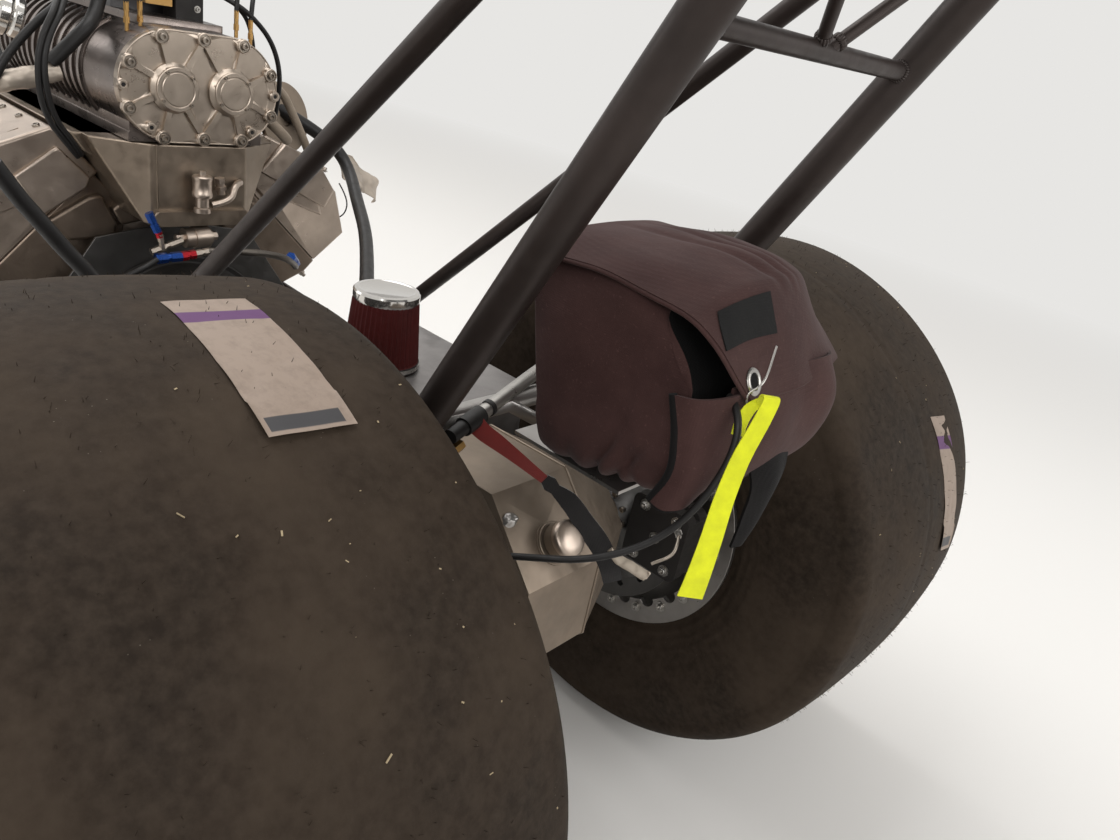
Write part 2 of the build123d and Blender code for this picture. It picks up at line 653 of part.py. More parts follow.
with BuildPart() as parachute_mount:
    with BuildSketch(Plane.XY.offset(MOUNT_Z)):
        with Locations((PACK_FRONT_X - 75, 0)):
            Rectangle(150, 250)
    extrude(amount=MOUNT_TRAY)
    x, y, z = on_strut(MOUNT_Z - 4, 1)
    tube((x, -y, z), (x, y, z), 25.4)
    for y in (-70, 70):
        plate(
            Plane(origin=(0, y, 0), x_dir=(1, 0, 0), z_dir=(0, -1, 0)),
            ((x - 6, MOUNT_Z + 3), (PACK_FRONT_X - 120, MOUNT_Z + 3), (PACK_FRONT_X - 120, MOUNT_Z - 8),
             (x - 6, MOUNT_Z - 14)), 4,
        )
    for side in (1, -1):
        tube(on_strut(600, side), on_strut(900, side), STRUT_DIAMETER + 2 * SEAT_GAP, mode=Mode.SUBTRACT)
finish(parachute_mount, "parachute_mount")


# Catch tank and its breather

TANK_REAR_X = REAR_AXLE_X + 100
TANK_LENGTH = 280
TANK_HALF_WIDTH = 138
TANK_TOP_Z = 645
FILTER_X = REAR_AXLE_X + 257
FILTER_Y = 25
FILTER_HEIGHT = 112

with BuildPart() as catch_tank:
    half, low, high = along("tail", "bulkhead", REAR_AXLE_X + 250)
    tank_bottom = high + WEB_DIAMETER / 2 + SEAT_GAP
    with BuildSketch(Plane.XY.offset(tank_bottom)):
        with Locations((TANK_REAR_X + TANK_LENGTH / 2, 0)):
            RectangleRounded(TANK_LENGTH, 2 * TANK_HALF_WIDTH, 18)
    extrude(amount=TANK_TOP_Z - tank_bottom)
    fillet(catch_tank.edges().group_by(Axis.Z)[-1], radius=5)
finish(catch_tank, "catch_tank")

with BuildPart() as breather_filter:
    with BuildSketch(Plane.XZ.offset(-FILTER_Y)):
        with BuildLine():
            Polyline(
                (FILTER_X, TANK_TOP_Z), (FILTER_X + 55, TANK_TOP_Z), (FILTER_X + 55, TANK_TOP_Z + 12),
                (FILTER_X + 52, TANK_TOP_Z + 14), (FILTER_X + 45, TANK_TOP_Z + FILTER_HEIGHT - 6),
                (FILTER_X + 47, TANK_TOP_Z + FILTER_HEIGHT - 5), (FILTER_X + 45, TANK_TOP_Z + FILTER_HEIGHT),
                (FILTER_X, TANK_TOP_Z + FILTER_HEIGHT), close=True,
            )
        make_face()
    revolve(axis=Axis((FILTER_X, FILTER_Y, 0), (0, 0, 1)))
finish(breather_filter, "breather_filter")


# Engine

with BuildPart() as engine_block:
    near = (DECK_HEIGHT - 105) * cos(radians(45))
    far = (DECK_HEIGHT + 105) * cos(radians(45))
    plate(
        cross_plane(BLOCK_REAR_X),
        (
            (-150, CRANK_Z - 70), (150, CRANK_Z - 70), (168, CRANK_Z + 20), (far, CRANK_Z + near),
            (near, CRANK_Z + far),
            (near - 20, CRANK_Z + far - 60), (20 - near, CRANK_Z + far - 60), (-near, CRANK_Z + far),
            (-far, CRANK_Z + near), (-168, CRANK_Z + 20),
        ),
        BLOCK_LENGTH,
    )
finish(engine_block, "engine_block")

with BuildPart() as oil_pan:
    plate(
        cross_plane(BLOCK_REAR_X),
        (
            (-140, CRANK_Z - 70.3), (140, CRANK_Z - 70.3), (140, CRANK_Z - 90), (110, CRANK_Z - 224),
            (-110, CRANK_Z - 224), (-140, CRANK_Z - 90),
        ),
        BLOCK_LENGTH,
    )
finish(oil_pan, "oil_pan")

# Cylinder head section: away from the valley, up the bores
HEAD = ((-108, 230.3), (-149, 262), (-149, 345), (128, 345), (128, 310), (96, 230.3))
# Valve cover section on the same axes
COVER = ((-148, 345.3), (-151, 440), (-10, 492), (50, 488), (136, 440), (126, 345.3))
COVER_PANEL = (98, 78)
COVER_PANEL_CENTRE = (-88, 394)
COVER_PANEL_HEIGHT = 6

with BuildPart() as cylinder_heads:
    for side in (1, -1):
        plate(bank_plane(HEAD_REAR_X, side), HEAD, side * HEAD_LENGTH)
        for cylinder in range(4):
            port_x = HEAD_REAR_X + 68 + cylinder * 128
            lean = cos(radians(45))
            outer = (port_x, side * (310 + 140) * lean, CRANK_Z + (310 - 140) * lean)
            inner = (port_x, side * (310 + 90) * lean, CRANK_Z + (310 - 90) * lean)
            tube(inner, outer, 46, mode=Mode.SUBTRACT)
finish(cylinder_heads, "cylinder_heads")

with BuildPart() as valve_covers:
    for side in (1, -1):
        plate(bank_plane(HEAD_REAR_X, side), COVER, side * HEAD_LENGTH)
        # Raised panel on the rear end
        with BuildSketch(bank_plane(HEAD_REAR_X, side)):
            with Locations(COVER_PANEL_CENTRE):
                RectangleRounded(*COVER_PANEL, 16)
        extrude(amount=-side * COVER_PANEL_HEIGHT)
finish(valve_covers, "valve_covers")

MANIFOLD_REAR_X = REAR_AXLE_X + 846
MANIFOLD_LIP = 8

with BuildPart() as intake_manifold:
    plate(
        cross_plane(MANIFOLD_REAR_X),
        (
            (-60, 683), (60, 683), (72, 683.1), (112, 723.1), (118, 748), (176, MANIFOLD_TOP_Z - 12),
            (196, MANIFOLD_TOP_Z - 12), (196, MANIFOLD_TOP_Z), (-196, MANIFOLD_TOP_Z),
            (-196, MANIFOLD_TOP_Z - 12),
            (-176, MANIFOLD_TOP_Z - 12), (-118, 748), (-112, 723.1), (-72, 683.1),
        ),
        600,
    )
    # Lip across the foot of the rear wall
    with BuildSketch(cross_plane(MANIFOLD_REAR_X)):
        with Locations((0, 706)):
            RectangleRounded(172, 20, 8)
    extrude(amount=-MANIFOLD_LIP)
finish(intake_manifold, "intake_manifold")

with BuildPart() as blower_case:
    with BuildSketch(cross_plane(BLOWER_REAR_X)):
        with Locations((0, BLOWER_Z)):
            SlotCenterToCenter(2 * LOBE_SPACING, 2 * LOBE_RADIUS)
        with Locations((0, MANIFOLD_TOP_Z + BLOWER_BASE_THICKNESS + 20)):
            Rectangle(2 * 120, 40)
    extrude(amount=BLOWER_LENGTH)
    with BuildSketch(Plane.XY.offset(MANIFOLD_TOP_Z + SEAT_GAP)):
        with Locations((BLOWER_REAR_X + BLOWER_LENGTH / 2, 0)):
            Rectangle(BLOWER_LENGTH, 2 * 190)
    extrude(amount=BLOWER_BASE_THICKNESS)
    with BuildSketch(Plane.XY.offset(BLOWER_Z + LOBE_RADIUS - 20)):
        with Locations((BLOWER_REAR_X + BLOWER_LENGTH / 2 + 30, 0)):
            Rectangle(BLOWER_LENGTH - 60, 150)
    extrude(amount=30)
    with BuildSketch(cross_plane(BLOWER_FRONT_X)):
        with Locations((0, BLOWER_Z)):
            SlotCenterToCenter(2 * LOBE_SPACING, 2 * LOBE_RADIUS + 2)
    extrude(amount=-12)
    tube((BLOWER_FRONT_X - 20, 0, BLOWER_Z), (PULLEY_X - 6, 0, BLOWER_Z), 104)
    # Ribs down both sides of the case, ahead of its plain rear end
    for number in range(CASE_RIB_COUNT):
        rib_x = BLOWER_REAR_X + CASE_RIB_START + (CASE_RIB_END - CASE_RIB_START) * number / (CASE_RIB_COUNT - 1)
        with BuildSketch(cross_plane(rib_x)):
            with Locations((0, BLOWER_Z)):
                SlotCenterToCenter(2 * LOBE_SPACING, 2 * (LOBE_RADIUS + CASE_RIB_HEIGHT))
                Rectangle(2 * (LOBE_SPACING + 40), 3 * LOBE_RADIUS, mode=Mode.SUBTRACT)
        extrude(amount=CASE_RIB)
finish(blower_case, "blower_case")

# Bolts of the blower's end covers: to the left, above the rotors' centre
COVER_BOLTS = ((72, 80), (125, 36), (128, -36), (71, -82))
COVER_PLATE = 14
RIB_HEIGHT = 7
BEARING_RADIUS = 36

with BuildPart() as blower_rear_cover:
    rear = BLOWER_REAR_X - SEAT_GAP
    face = Plane(origin=(rear, 0, BLOWER_Z), x_dir=(0, 1, 0), z_dir=(1, 0, 0))
    with BuildSketch(face):
        SlotCenterToCenter(2 * LOBE_SPACING, 2 * LOBE_RADIUS)
    extrude(amount=-COVER_PLATE)
    ribs = Plane(origin=(rear - COVER_PLATE, 0, BLOWER_Z), x_dir=(0, 1, 0), z_dir=(1, 0, 0))
    with BuildSketch(ribs):
        for side in (1, -1):
            bearing = (side * LOBE_SPACING, 0)
            for bolt_y, bolt_z in COVER_BOLTS:
                with BuildLine():
                    spine = Line(bearing, (side * bolt_y, bolt_z))
                with Locations(spine @ 0.5):
                    SlotOverall(spine.length + 8, 9, rotation=spine.tangent_angle_at(0))
            for bolt_z in (86, -86):
                with BuildLine():
                    spine = Line(bearing, (0, bolt_z * 0.93))
                with Locations(spine @ 0.5):
                    SlotOverall(spine.length + 8, 9, rotation=spine.tangent_angle_at(0))
            with Locations(bearing):
                Circle(BEARING_RADIUS + 5)
            with Locations(*[(side * y, z) for y, z in COVER_BOLTS]):
                Circle(12)
            with Locations((side * 136, 0), (side * 92, -66)):
                Circle(9)
        with Locations((0, 82), (0, -82)):
            Circle(12)
    extrude(amount=-RIB_HEIGHT)
    for side in (1, -1):
        tube(
            (rear - COVER_PLATE, side * LOBE_SPACING, BLOWER_Z),
            (rear - COVER_PLATE - 18, side * LOBE_SPACING, BLOWER_Z), 2 * BEARING_RADIUS,
        )
finish(blower_rear_cover, "blower_rear_cover")

PULLEY_WIDTH = 84
TOP_PULLEY_RADIUS = 82
BOTTOM_PULLEY_RADIUS = 104
BELT = 6
PULLEY_FLANGE = 3

with BuildPart() as drive_pulleys:
    # Height, radius and rear end of each pulley's boss
    for z, radius, root in (
        (BLOWER_Z, TOP_PULLEY_RADIUS, PULLEY_X - 5.7), (CRANK_Z, BOTTOM_PULLEY_RADIUS, PULLEY_X - 13),
    ):
        tube((root, 0, z), (PULLEY_X + PULLEY_WIDTH + 8, 0, z), 60)
        tube((PULLEY_X, 0, z), (PULLEY_X + PULLEY_WIDTH, 0, z), 2 * radius)
        for flange_x in (PULLEY_X, PULLEY_X + PULLEY_WIDTH - PULLEY_FLANGE):
            tube((flange_x, 0, z), (flange_x + PULLEY_FLANGE, 0, z), 2 * (radius + BELT + 2))
finish(drive_pulleys, "drive_pulleys")

with BuildPart() as blower_belt:
    belt_gap = PULLEY_FLANGE + 1
    belt_plane = Plane(origin=(PULLEY_X + belt_gap, 0, 0), x_dir=(0, 1, 0), z_dir=(1, 0, 0))
    with BuildSketch(belt_plane):
        with BuildLine():
            top_arc = CenterArc((0, BLOWER_Z), TOP_PULLEY_RADIUS + SEAT_GAP + BELT, 0, 180)
            bottom_arc = CenterArc((0, CRANK_Z), BOTTOM_PULLEY_RADIUS + SEAT_GAP + BELT, 180, 180)
            Line(top_arc @ 1, bottom_arc @ 0)
            Line(bottom_arc @ 1, top_arc @ 0)
        make_face()
        with BuildLine():
            top_in = CenterArc((0, BLOWER_Z), TOP_PULLEY_RADIUS + SEAT_GAP, 0, 180)
            bottom_in = CenterArc((0, CRANK_Z), BOTTOM_PULLEY_RADIUS + SEAT_GAP, 180, 180)
            Line(top_in @ 1, bottom_in @ 0)
            Line(bottom_in @ 1, top_in @ 0)
        make_face(mode=Mode.SUBTRACT)
    extrude(amount=PULLEY_WIDTH - 2 * belt_gap)
finish(blower_belt, "blower_belt")

HAT_BASE_Z = BLOWER_Z + LOBE_RADIUS + 10

HAT_REAR_X = BLOWER_REAR_X + 160
HAT_NECK_HALF = 78
HAT_HALF = 185
HAT_BORE = 104
BUTTERFLY = 3

with BuildPart() as injector_hat:
    hat_side = Plane(origin=(HAT_REAR_X, 0, HAT_BASE_Z + SEAT_GAP), x_dir=(1, 0, 0), z_dir=(0, -1, 0))
    plate(hat_side, ((0, 0), (320, 0), (320, 70), (0, 70)), HAT_NECK_HALF, both=True)
    plate(
        hat_side, ((0, 60), (330, 60), (420, 110), (420, 262), (200, 262), (0, 130)), HAT_HALF, both=True,
    )
    # Three bores open to the front, each with its butterfly on one shaft
    bore_x = HAT_REAR_X + 300
    bore_z = HAT_BASE_Z + 186
    for y in (-118, 0, 118):
        tube((bore_x, y, bore_z), (bore_x + 200, y, bore_z), HAT_BORE, mode=Mode.SUBTRACT)
        tube((bore_x + 60, y, bore_z), (bore_x + 60 + BUTTERFLY, y, bore_z), HAT_BORE)
    shaft_x = bore_x + 60 + BUTTERFLY / 2
    tube((shaft_x, -HAT_HALF - 16, bore_z), (shaft_x, HAT_HALF + 16, bore_z), 12)
finish(injector_hat, "injector_hat")

with BuildPart() as motor_plates:
    for x, top in ((BLOCK_REAR_X - 5.7, 655), (BLOCK_REAR_X + BLOCK_LENGTH + SEAT_GAP, 640)):
        half, low, high = along("tail", "bulkhead", x)
        reach = half - WEB_DIAMETER / 2 - SEAT_GAP
        plate(
            cross_plane(x),
            ((-reach, high - 60), (-reach, 250), (reach, 250), (reach, high - 60), (reach, high + 6), (150, 640),
             (60, top), (-60, top), (-150, 640), (-reach, high + 6)),
            5.4,
        )
    clear_rails("tail", "bulkhead")
    tube((BLOCK_REAR_X + BLOCK_LENGTH - 1, 0, CRANK_Z), (BLOCK_REAR_X + BLOCK_LENGTH + 10, 0, CRANK_Z), 70,
         mode=Mode.SUBTRACT)
finish(motor_plates, "motor_plates")


# Body panels round the front frame and cockpit

PANEL_OFFSET = RAIL_DIAMETER / 2 + SEAT_GAP
FLOOR_Z = station("dash")[2] - PANEL_OFFSET - PANEL


def panel_half(name):
    """Half width to the inner face of the side panel at a station."""
    return station(name)[1] + PANEL_OFFSET


TIE_ROD_BACK = 110
TIE_ROD_Z = 222

with BuildPart() as side_panels:
    for side in (1, -1):
        for first, last in (("bulkhead", "dash"), ("dash", "nose")):
            for name in (first, last):
                x, half, low, high = station(name)
                inner = panel_half(name)
                with BuildSketch(side_plane(x, 0, 0, side)):
                    with BuildLine():
                        Polyline(
                            (inner, FLOOR_Z + PANEL), (inner + PANEL, FLOOR_Z + PANEL),
                            (inner + PANEL, high + PANEL_OFFSET), (inner, high + PANEL_OFFSET), close=True,
                        )
                    make_face()
            loft(ruled=True)
        tube(
            (FRONT_AXLE_X, 0, FRONT_TYRE_RADIUS), (FRONT_AXLE_X, side * 300, FRONT_TYRE_RADIUS),
            CAGE_DIAMETER + 12, mode=Mode.SUBTRACT,
        )
        tube(
            (FRONT_AXLE_X - TIE_ROD_BACK, 0, TIE_ROD_Z), (FRONT_AXLE_X - TIE_ROD_BACK, side * 300, TIE_ROD_Z),
            48, mode=Mode.SUBTRACT,
        )
finish(side_panels, "side_panels")

with BuildPart() as belly_pan:
    corners = [(station(name)[0], panel_half(name) + PANEL) for name in ("bulkhead", "dash", "nose")]
    plate(Plane.XY.offset(FLOOR_Z), corners + [(x, -y) for x, y in reversed(corners)], PANEL)
finish(belly_pan, "belly_pan")

COWL_CROWN = {"dash": 80, "nose": 40}

with BuildPart() as cowl:
    for name in ("dash", "nose"):
        x, half, low, high = station(name)
        outer = panel_half(name) + PANEL
        foot = high + PANEL_OFFSET + SEAT_GAP
        crown = foot + COWL_CROWN[name]
        with BuildSketch(cross_plane(x)):
            with BuildLine():
                ThreePointArc((outer, foot), (0, crown), (-outer, foot))
                Line((-outer, foot), (-outer + PANEL, foot))
                ThreePointArc((-outer + PANEL, foot), (0, crown - PANEL), (outer - PANEL, foot))
                Line((outer - PANEL, foot), (outer, foot))
            make_face()
    loft(ruled=True)
finish(cowl, "cowl")

with BuildPart() as nose_cone:
    x, half, low, high = station("nose")
    outer = panel_half("nose") + PANEL
    foot = high + PANEL_OFFSET + SEAT_GAP
    # Sections of the nose: x, half width, floor, shoulder, crown
    for nose_x, wide, floor, shoulder, crown in (
        (x + SEAT_GAP, outer, FLOOR_Z, foot, foot + COWL_CROWN["nose"]),
        (NOSE_TIP_X, 46, 96, 122, 142),
    ):
        with BuildSketch(cross_plane(nose_x)):
            with BuildLine():
                Line((-wide, shoulder), (-wide, floor))
                Line((-wide, floor), (wide, floor))
                Line((wide, floor), (wide, shoulder))
                ThreePointArc((wide, shoulder), (0, crown), (-wide, shoulder))
            make_face()
    loft(ruled=True)
finish(nose_cone, "nose_cone")

FRONT_WING_SPAN = 920
FRONT_WING_Z = 118

with BuildPart() as front_wing:
    with BuildSketch(Plane(origin=(NOSE_TIP_X - 30, FRONT_WING_SPAN / 2, FRONT_WING_Z), x_dir=(1, 0, 0),
                           z_dir=(0, -1, 0))):
        airfoil(250, 20)
    extrude(amount=FRONT_WING_SPAN)
    add(nose_cone.part, mode=Mode.SUBTRACT)
    for side in (1, -1):
        with BuildSketch(disc_plane(NOSE_TIP_X - 155, side * FRONT_WING_SPAN / 2, FRONT_WING_Z + 6, side)):
            Rectangle(270, 70)
        extrude(amount=4)
finish(front_wing, "front_wing")


# Cockpit: cage, seat, steering wheel, pedals

HOOP_X = REAR_AXLE_X + COCKPIT_REAR + 170

with BuildPart() as roll_cage:
    hoop_x = HOOP_X
    half, low, high = along("bulkhead", "dash", hoop_x)
    bent_tube(
        (
            (hoop_x, half - 6, high), (hoop_x, half - 12, 780), (hoop_x, 200, 1075), (hoop_x, -200, 1075),
            (hoop_x, -half + 12, 780), (hoop_x, -half + 6, high),
        ), 90, CAGE_DIAMETER,
    )
    front_x = HOOP_X + 500
    foot_x = REAR_AXLE_X + DASH - 590
    foot_half, _, foot_high = along("bulkhead", "dash", foot_x)
    for side in (1, -1):
        bent_tube(
            (
                (hoop_x, side * 196, 1060), (front_x, side * 190, 985), (foot_x, side * (foot_half - 6), foot_high),
            ), 90, CAGE_DIAMETER,
        )
        brace_x = REAR_AXLE_X + COCKPIT_REAR + 20
        brace_half, _, brace_high = along("bulkhead", "dash", brace_x)
        tube((hoop_x, side * 300, 800), (brace_x, side * brace_half, brace_high), BRACE_DIAMETER)
    tube((front_x - 60, -188, 993), (front_x - 60, 188, 993), CAGE_DIAMETER)
    tube((hoop_x, -290, 800), (hoop_x, 290, 800), BRACE_DIAMETER)
    clear_rails("bulkhead", "dash")
finish(roll_cage, "roll_cage")

SEAT_WIDTH = 440
SEAT_WALL = 5
SEAT_REAR_X = HOOP_X + 30

with BuildPart() as driver_seat:
    base = FLOOR_Z + PANEL + SEAT_GAP
    outline = (
        (0, 700), (30, 700), (130, base + 90), (420, base + 60), (620, base + 100), (620, base + 40), (420, base),
        (60, base), (-20, 640),
    )
    seat_plane = Plane(origin=(SEAT_REAR_X, 0, 0), x_dir=(1, 0, 0), z_dir=(0, -1, 0))
    with BuildSketch(seat_plane):
        with BuildLine():
            Polyline((-20, 660), (60, base), (440, base), (620, base + 90), (600, base + 230), (330, base + 190),
                     (170, 500), (90, 700), (-10, 720), close=True)
        make_face()
    extrude(amount=SEAT_WIDTH / 2, both=True)
    with BuildSketch(seat_plane):
        with BuildLine():
            Polyline((4, 1000), (4, 655), (76, base + 10), (436, base + 10), (640, base + 102), (640, 1000),
                     close=True)
        make_face()
    extrude(amount=SEAT_WIDTH / 2 - SEAT_WALL, both=True, mode=Mode.SUBTRACT)
finish(driver_seat, "driver_seat")

COLUMN_TILT = 14
WHEEL_CENTRE = (REAR_AXLE_X + DASH - 610, 0, 640)
column_run = Vector(cos(radians(COLUMN_TILT)), 0, -sin(radians(COLUMN_TILT)))

with BuildPart() as steering_wheel:
    centre = Vector(*WHEEL_CENTRE)
    wheel_plane = Plane(origin=WHEEL_CENTRE, x_dir=(0, 1, 0), z_dir=column_run)
    with BuildSketch(wheel_plane):
        Circle(34)
        Rectangle(250, 22)
        for side in (1, -1):
            with Locations((side * 125, 0)):
                SlotOverall(130, 26, rotation=90)
    extrude(amount=14)
    tube(tuple(centre + column_run * 14), tuple(centre + column_run * 90), 19.9)
finish(steering_wheel, "steering_wheel")

with BuildPart() as steering_column:
    start = centre + column_run * 40
    end = centre + column_run * 610
    tube(tuple(start), tuple(end), 32)
    tube(tuple(start), tuple(centre + column_run * 130), 20, mode=Mode.SUBTRACT)
    bar_x = REAR_AXLE_X + DASH - 350
    half, low, high = along("bulkhead", "dash", bar_x)
    bar_z = WHEEL_CENTRE[2] - (bar_x - WHEEL_CENTRE[0]) * sin(radians(COLUMN_TILT)) / cos(radians(COLUMN_TILT)) - 20
    tube((bar_x, -half, bar_z), (bar_x, half, bar_z), WEB_DIAMETER)
    for side in (1, -1):
        tube((bar_x, side * half, low), (bar_x, side * half, high), WEB_DIAMETER + 2 * SEAT_GAP, mode=Mode.SUBTRACT)
    clear_rails("bulkhead", "dash")
finish(steering_column, "steering_column")

PEDAL_X = REAR_AXLE_X + DASH - 180

with BuildPart() as pedals:
    half, low, high = along("bulkhead", "dash", PEDAL_X)
    pivot_z = low
    tube((PEDAL_X, -half, pivot_z), (PEDAL_X, half, pivot_z), 18)
    for y in (-110, 110):
        tube((PEDAL_X, y, pivot_z), (PEDAL_X - 34, y, pivot_z + 150), 16)
        with BuildSketch(Plane(origin=(PEDAL_X - 46, y, pivot_z + 150), x_dir=(0, 1, 0), z_dir=(1, 0, 0.2))):
            RectangleRounded(76, 104, 12)
        extrude(amount=12)
    clear_rails("bulkhead", "dash", ("low",))
finish(pedals, "pedals")


# Front axle and steering

ARM_LENGTH = TIE_ROD_BACK
BOSS_RADIUS = 22
BOSS_HALF = 34
EAR_GAP = 1
EAR = 9
PIN_RADIUS = 10

with BuildPart() as front_axle:
    tube(
        (FRONT_AXLE_X, -KINGPIN_Y, FRONT_TYRE_RADIUS), (FRONT_AXLE_X, KINGPIN_Y, FRONT_TYRE_RADIUS),
        CAGE_DIAMETER,
    )
    for side in (1, -1):
        bottom = FRONT_TYRE_RADIUS - BOSS_HALF
        tube(
            (FRONT_AXLE_X, side * KINGPIN_Y, bottom), (FRONT_AXLE_X, side * KINGPIN_Y, bottom + 2 * BOSS_HALF),
            2 * BOSS_RADIUS,
        )
        tube(
            (FRONT_AXLE_X, side * KINGPIN_Y, bottom - 1), (FRONT_AXLE_X, side * KINGPIN_Y, bottom + 2 * BOSS_HALF + 1),
            2 * PIN_RADIUS + 2 * RUNNING_CLEARANCE, mode=Mode.SUBTRACT,
        )
finish(front_axle, "front_axle")

SPINDLE_RADIUS = 14
FRONT_HUB_OUTER_Y = FRONT_TRACK / 2 + 26
UPRIGHT_Y = KINGPIN_Y + BOSS_RADIUS + 5

for side, hand in ((1, "left"), (-1, "right")):
    with BuildPart() as knuckle:
        low_ear = FRONT_TYRE_RADIUS - BOSS_HALF - EAR_GAP - EAR
        high_ear = FRONT_TYRE_RADIUS + BOSS_HALF + EAR_GAP
        for z in (low_ear, high_ear):
            with BuildSketch(Plane.XY.offset(z)):
                with Locations((FRONT_AXLE_X, side * (KINGPIN_Y + UPRIGHT_Y + 10 - 20) / 2)):
                    Rectangle(44, UPRIGHT_Y + 10 - KINGPIN_Y + 20)
            extrude(amount=EAR)
        with BuildSketch(Plane.XY.offset(low_ear)):
            with Locations((FRONT_AXLE_X, side * (UPRIGHT_Y + 5))):
                Rectangle(44, 10)
        extrude(amount=high_ear + EAR - low_ear)
        tube(
            (FRONT_AXLE_X, side * KINGPIN_Y, low_ear - 2), (FRONT_AXLE_X, side * KINGPIN_Y, high_ear + EAR + 2),
            2 * PIN_RADIUS,
        )
        tube(
            (FRONT_AXLE_X, side * (UPRIGHT_Y + 9), FRONT_TYRE_RADIUS),
            (FRONT_AXLE_X, side * (FRONT_HUB_OUTER_Y - 6), FRONT_TYRE_RADIUS), 2 * SPINDLE_RADIUS,
        )
        with BuildSketch(Plane.XY.offset(low_ear)):
            with Locations((FRONT_AXLE_X - ARM_LENGTH / 2 - 10, side * KINGPIN_Y)):
                Rectangle(ARM_LENGTH + 24, 24)
        extrude(amount=EAR)
        tube(
            (FRONT_AXLE_X - ARM_LENGTH, side * KINGPIN_Y, low_ear - 24),
            (FRONT_AXLE_X - ARM_LENGTH, side * KINGPIN_Y, low_ear + 1), 12,
        )
    finish(knuckle, f"front_knuckle_{hand}")

    with BuildPart() as front_rim:
        half_rim = 34
        hub_in = UPRIGHT_Y + 12 - FRONT_TRACK / 2
        with BuildSketch(side_plane(FRONT_AXLE_X, side * FRONT_TRACK / 2, FRONT_TYRE_RADIUS, side)):
            with BuildLine():
                Polyline(
                    (-half_rim, FRONT_RIM_RADIUS - 14), (half_rim, FRONT_RIM_RADIUS - 14),
                    (half_rim, FRONT_RIM_RADIUS), (half_rim - 5, FRONT_RIM_RADIUS),
                    (half_rim - 8, FRONT_RIM_RADIUS - 8),
                    (-half_rim + 8, FRONT_RIM_RADIUS - 8), (-half_rim + 5, FRONT_RIM_RADIUS),
                    (-half_rim, FRONT_RIM_RADIUS), close=True,
                )
            make_face()
            with BuildLine():
                Polyline(
                    (hub_in, SPINDLE_RADIUS + RUNNING_CLEARANCE), (26, SPINDLE_RADIUS + RUNNING_CLEARANCE),
                    (26, 34), (hub_in, 34), close=True,
                )
            make_face()
        revolve(axis=Axis((FRONT_AXLE_X, 0, FRONT_TYRE_RADIUS), (0, 1, 0)))
        with BuildSketch(disc_plane(FRONT_AXLE_X, side * (FRONT_TRACK / 2 + 2), FRONT_TYRE_RADIUS, side)):
            with PolarLocations(118, SPOKE_COUNT):
                Rectangle(184, 26)
            Circle(30, mode=Mode.SUBTRACT)
        extrude(amount=14)
        tube(
            (FRONT_AXLE_X, side * (FRONT_HUB_OUTER_Y - 1), FRONT_TYRE_RADIUS),
            (FRONT_AXLE_X, side * (FRONT_HUB_OUTER_Y + 12), FRONT_TYRE_RADIUS), 52,
        )
    finish(front_rim, f"front_rim_{hand}")

    with BuildPart() as front_tyre:
        half_tyre = FRONT_TYRE_WIDTH / 2
        with BuildSketch(side_plane(FRONT_AXLE_X, side * FRONT_TRACK / 2, FRONT_TYRE_RADIUS, side)):
            with BuildLine():
                tread = ThreePointArc(
                    (-30, FRONT_TYRE_RADIUS - 4), (0, FRONT_TYRE_RADIUS), (30, FRONT_TYRE_RADIUS - 4)
                )
                wall_right = ThreePointArc(
                    tread @ 1, (half_tyre, FRONT_TYRE_RADIUS - 28), (25.5, FRONT_RIM_RADIUS + 1)
                )
                Line(wall_right @ 1, (25.5, FRONT_RIM_RADIUS - 8 + SEAT_GAP))
                Line((25.5, FRONT_RIM_RADIUS - 8 + SEAT_GAP), (-25.5, FRONT_RIM_RADIUS - 8 + SEAT_GAP))
                Line((-25.5, FRONT_RIM_RADIUS - 8 + SEAT_GAP), (-25.5, FRONT_RIM_RADIUS + 1))
                ThreePointArc((-25.5, FRONT_RIM_RADIUS + 1), (-half_tyre, FRONT_TYRE_RADIUS - 28), tread @ 0)
            make_face()
        revolve(axis=Axis((FRONT_AXLE_X, 0, FRONT_TYRE_RADIUS), (0, 1, 0)))
    finish(front_tyre, f"front_tyre_{hand}")

with BuildPart() as tie_rod:
    rod_x = FRONT_AXLE_X - ARM_LENGTH
    rod_z = TIE_ROD_Z
    tube((rod_x, -KINGPIN_Y + 12, rod_z), (rod_x, KINGPIN_Y - 12, rod_z), 18)
    for side in (1, -1):
        tube((rod_x, side * KINGPIN_Y, rod_z - 8), (rod_x, side * KINGPIN_Y, rod_z + 8), 32)
        tube(
            (rod_x, side * KINGPIN_Y, rod_z - 9), (rod_x, side * KINGPIN_Y, rod_z + 9),
            12 + 2 * RUNNING_CLEARANCE, mode=Mode.SUBTRACT,
        )
finish(tie_rod, "tie_rod")
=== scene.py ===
"""Looks of a rear-engined drag racing car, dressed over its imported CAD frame.

Lengths are in metres, but tables of points and turned profiles are in millimetres.
"""

import json
import math

import bmesh
import bpy
import numpy as np
from mathutils import Matrix, Vector

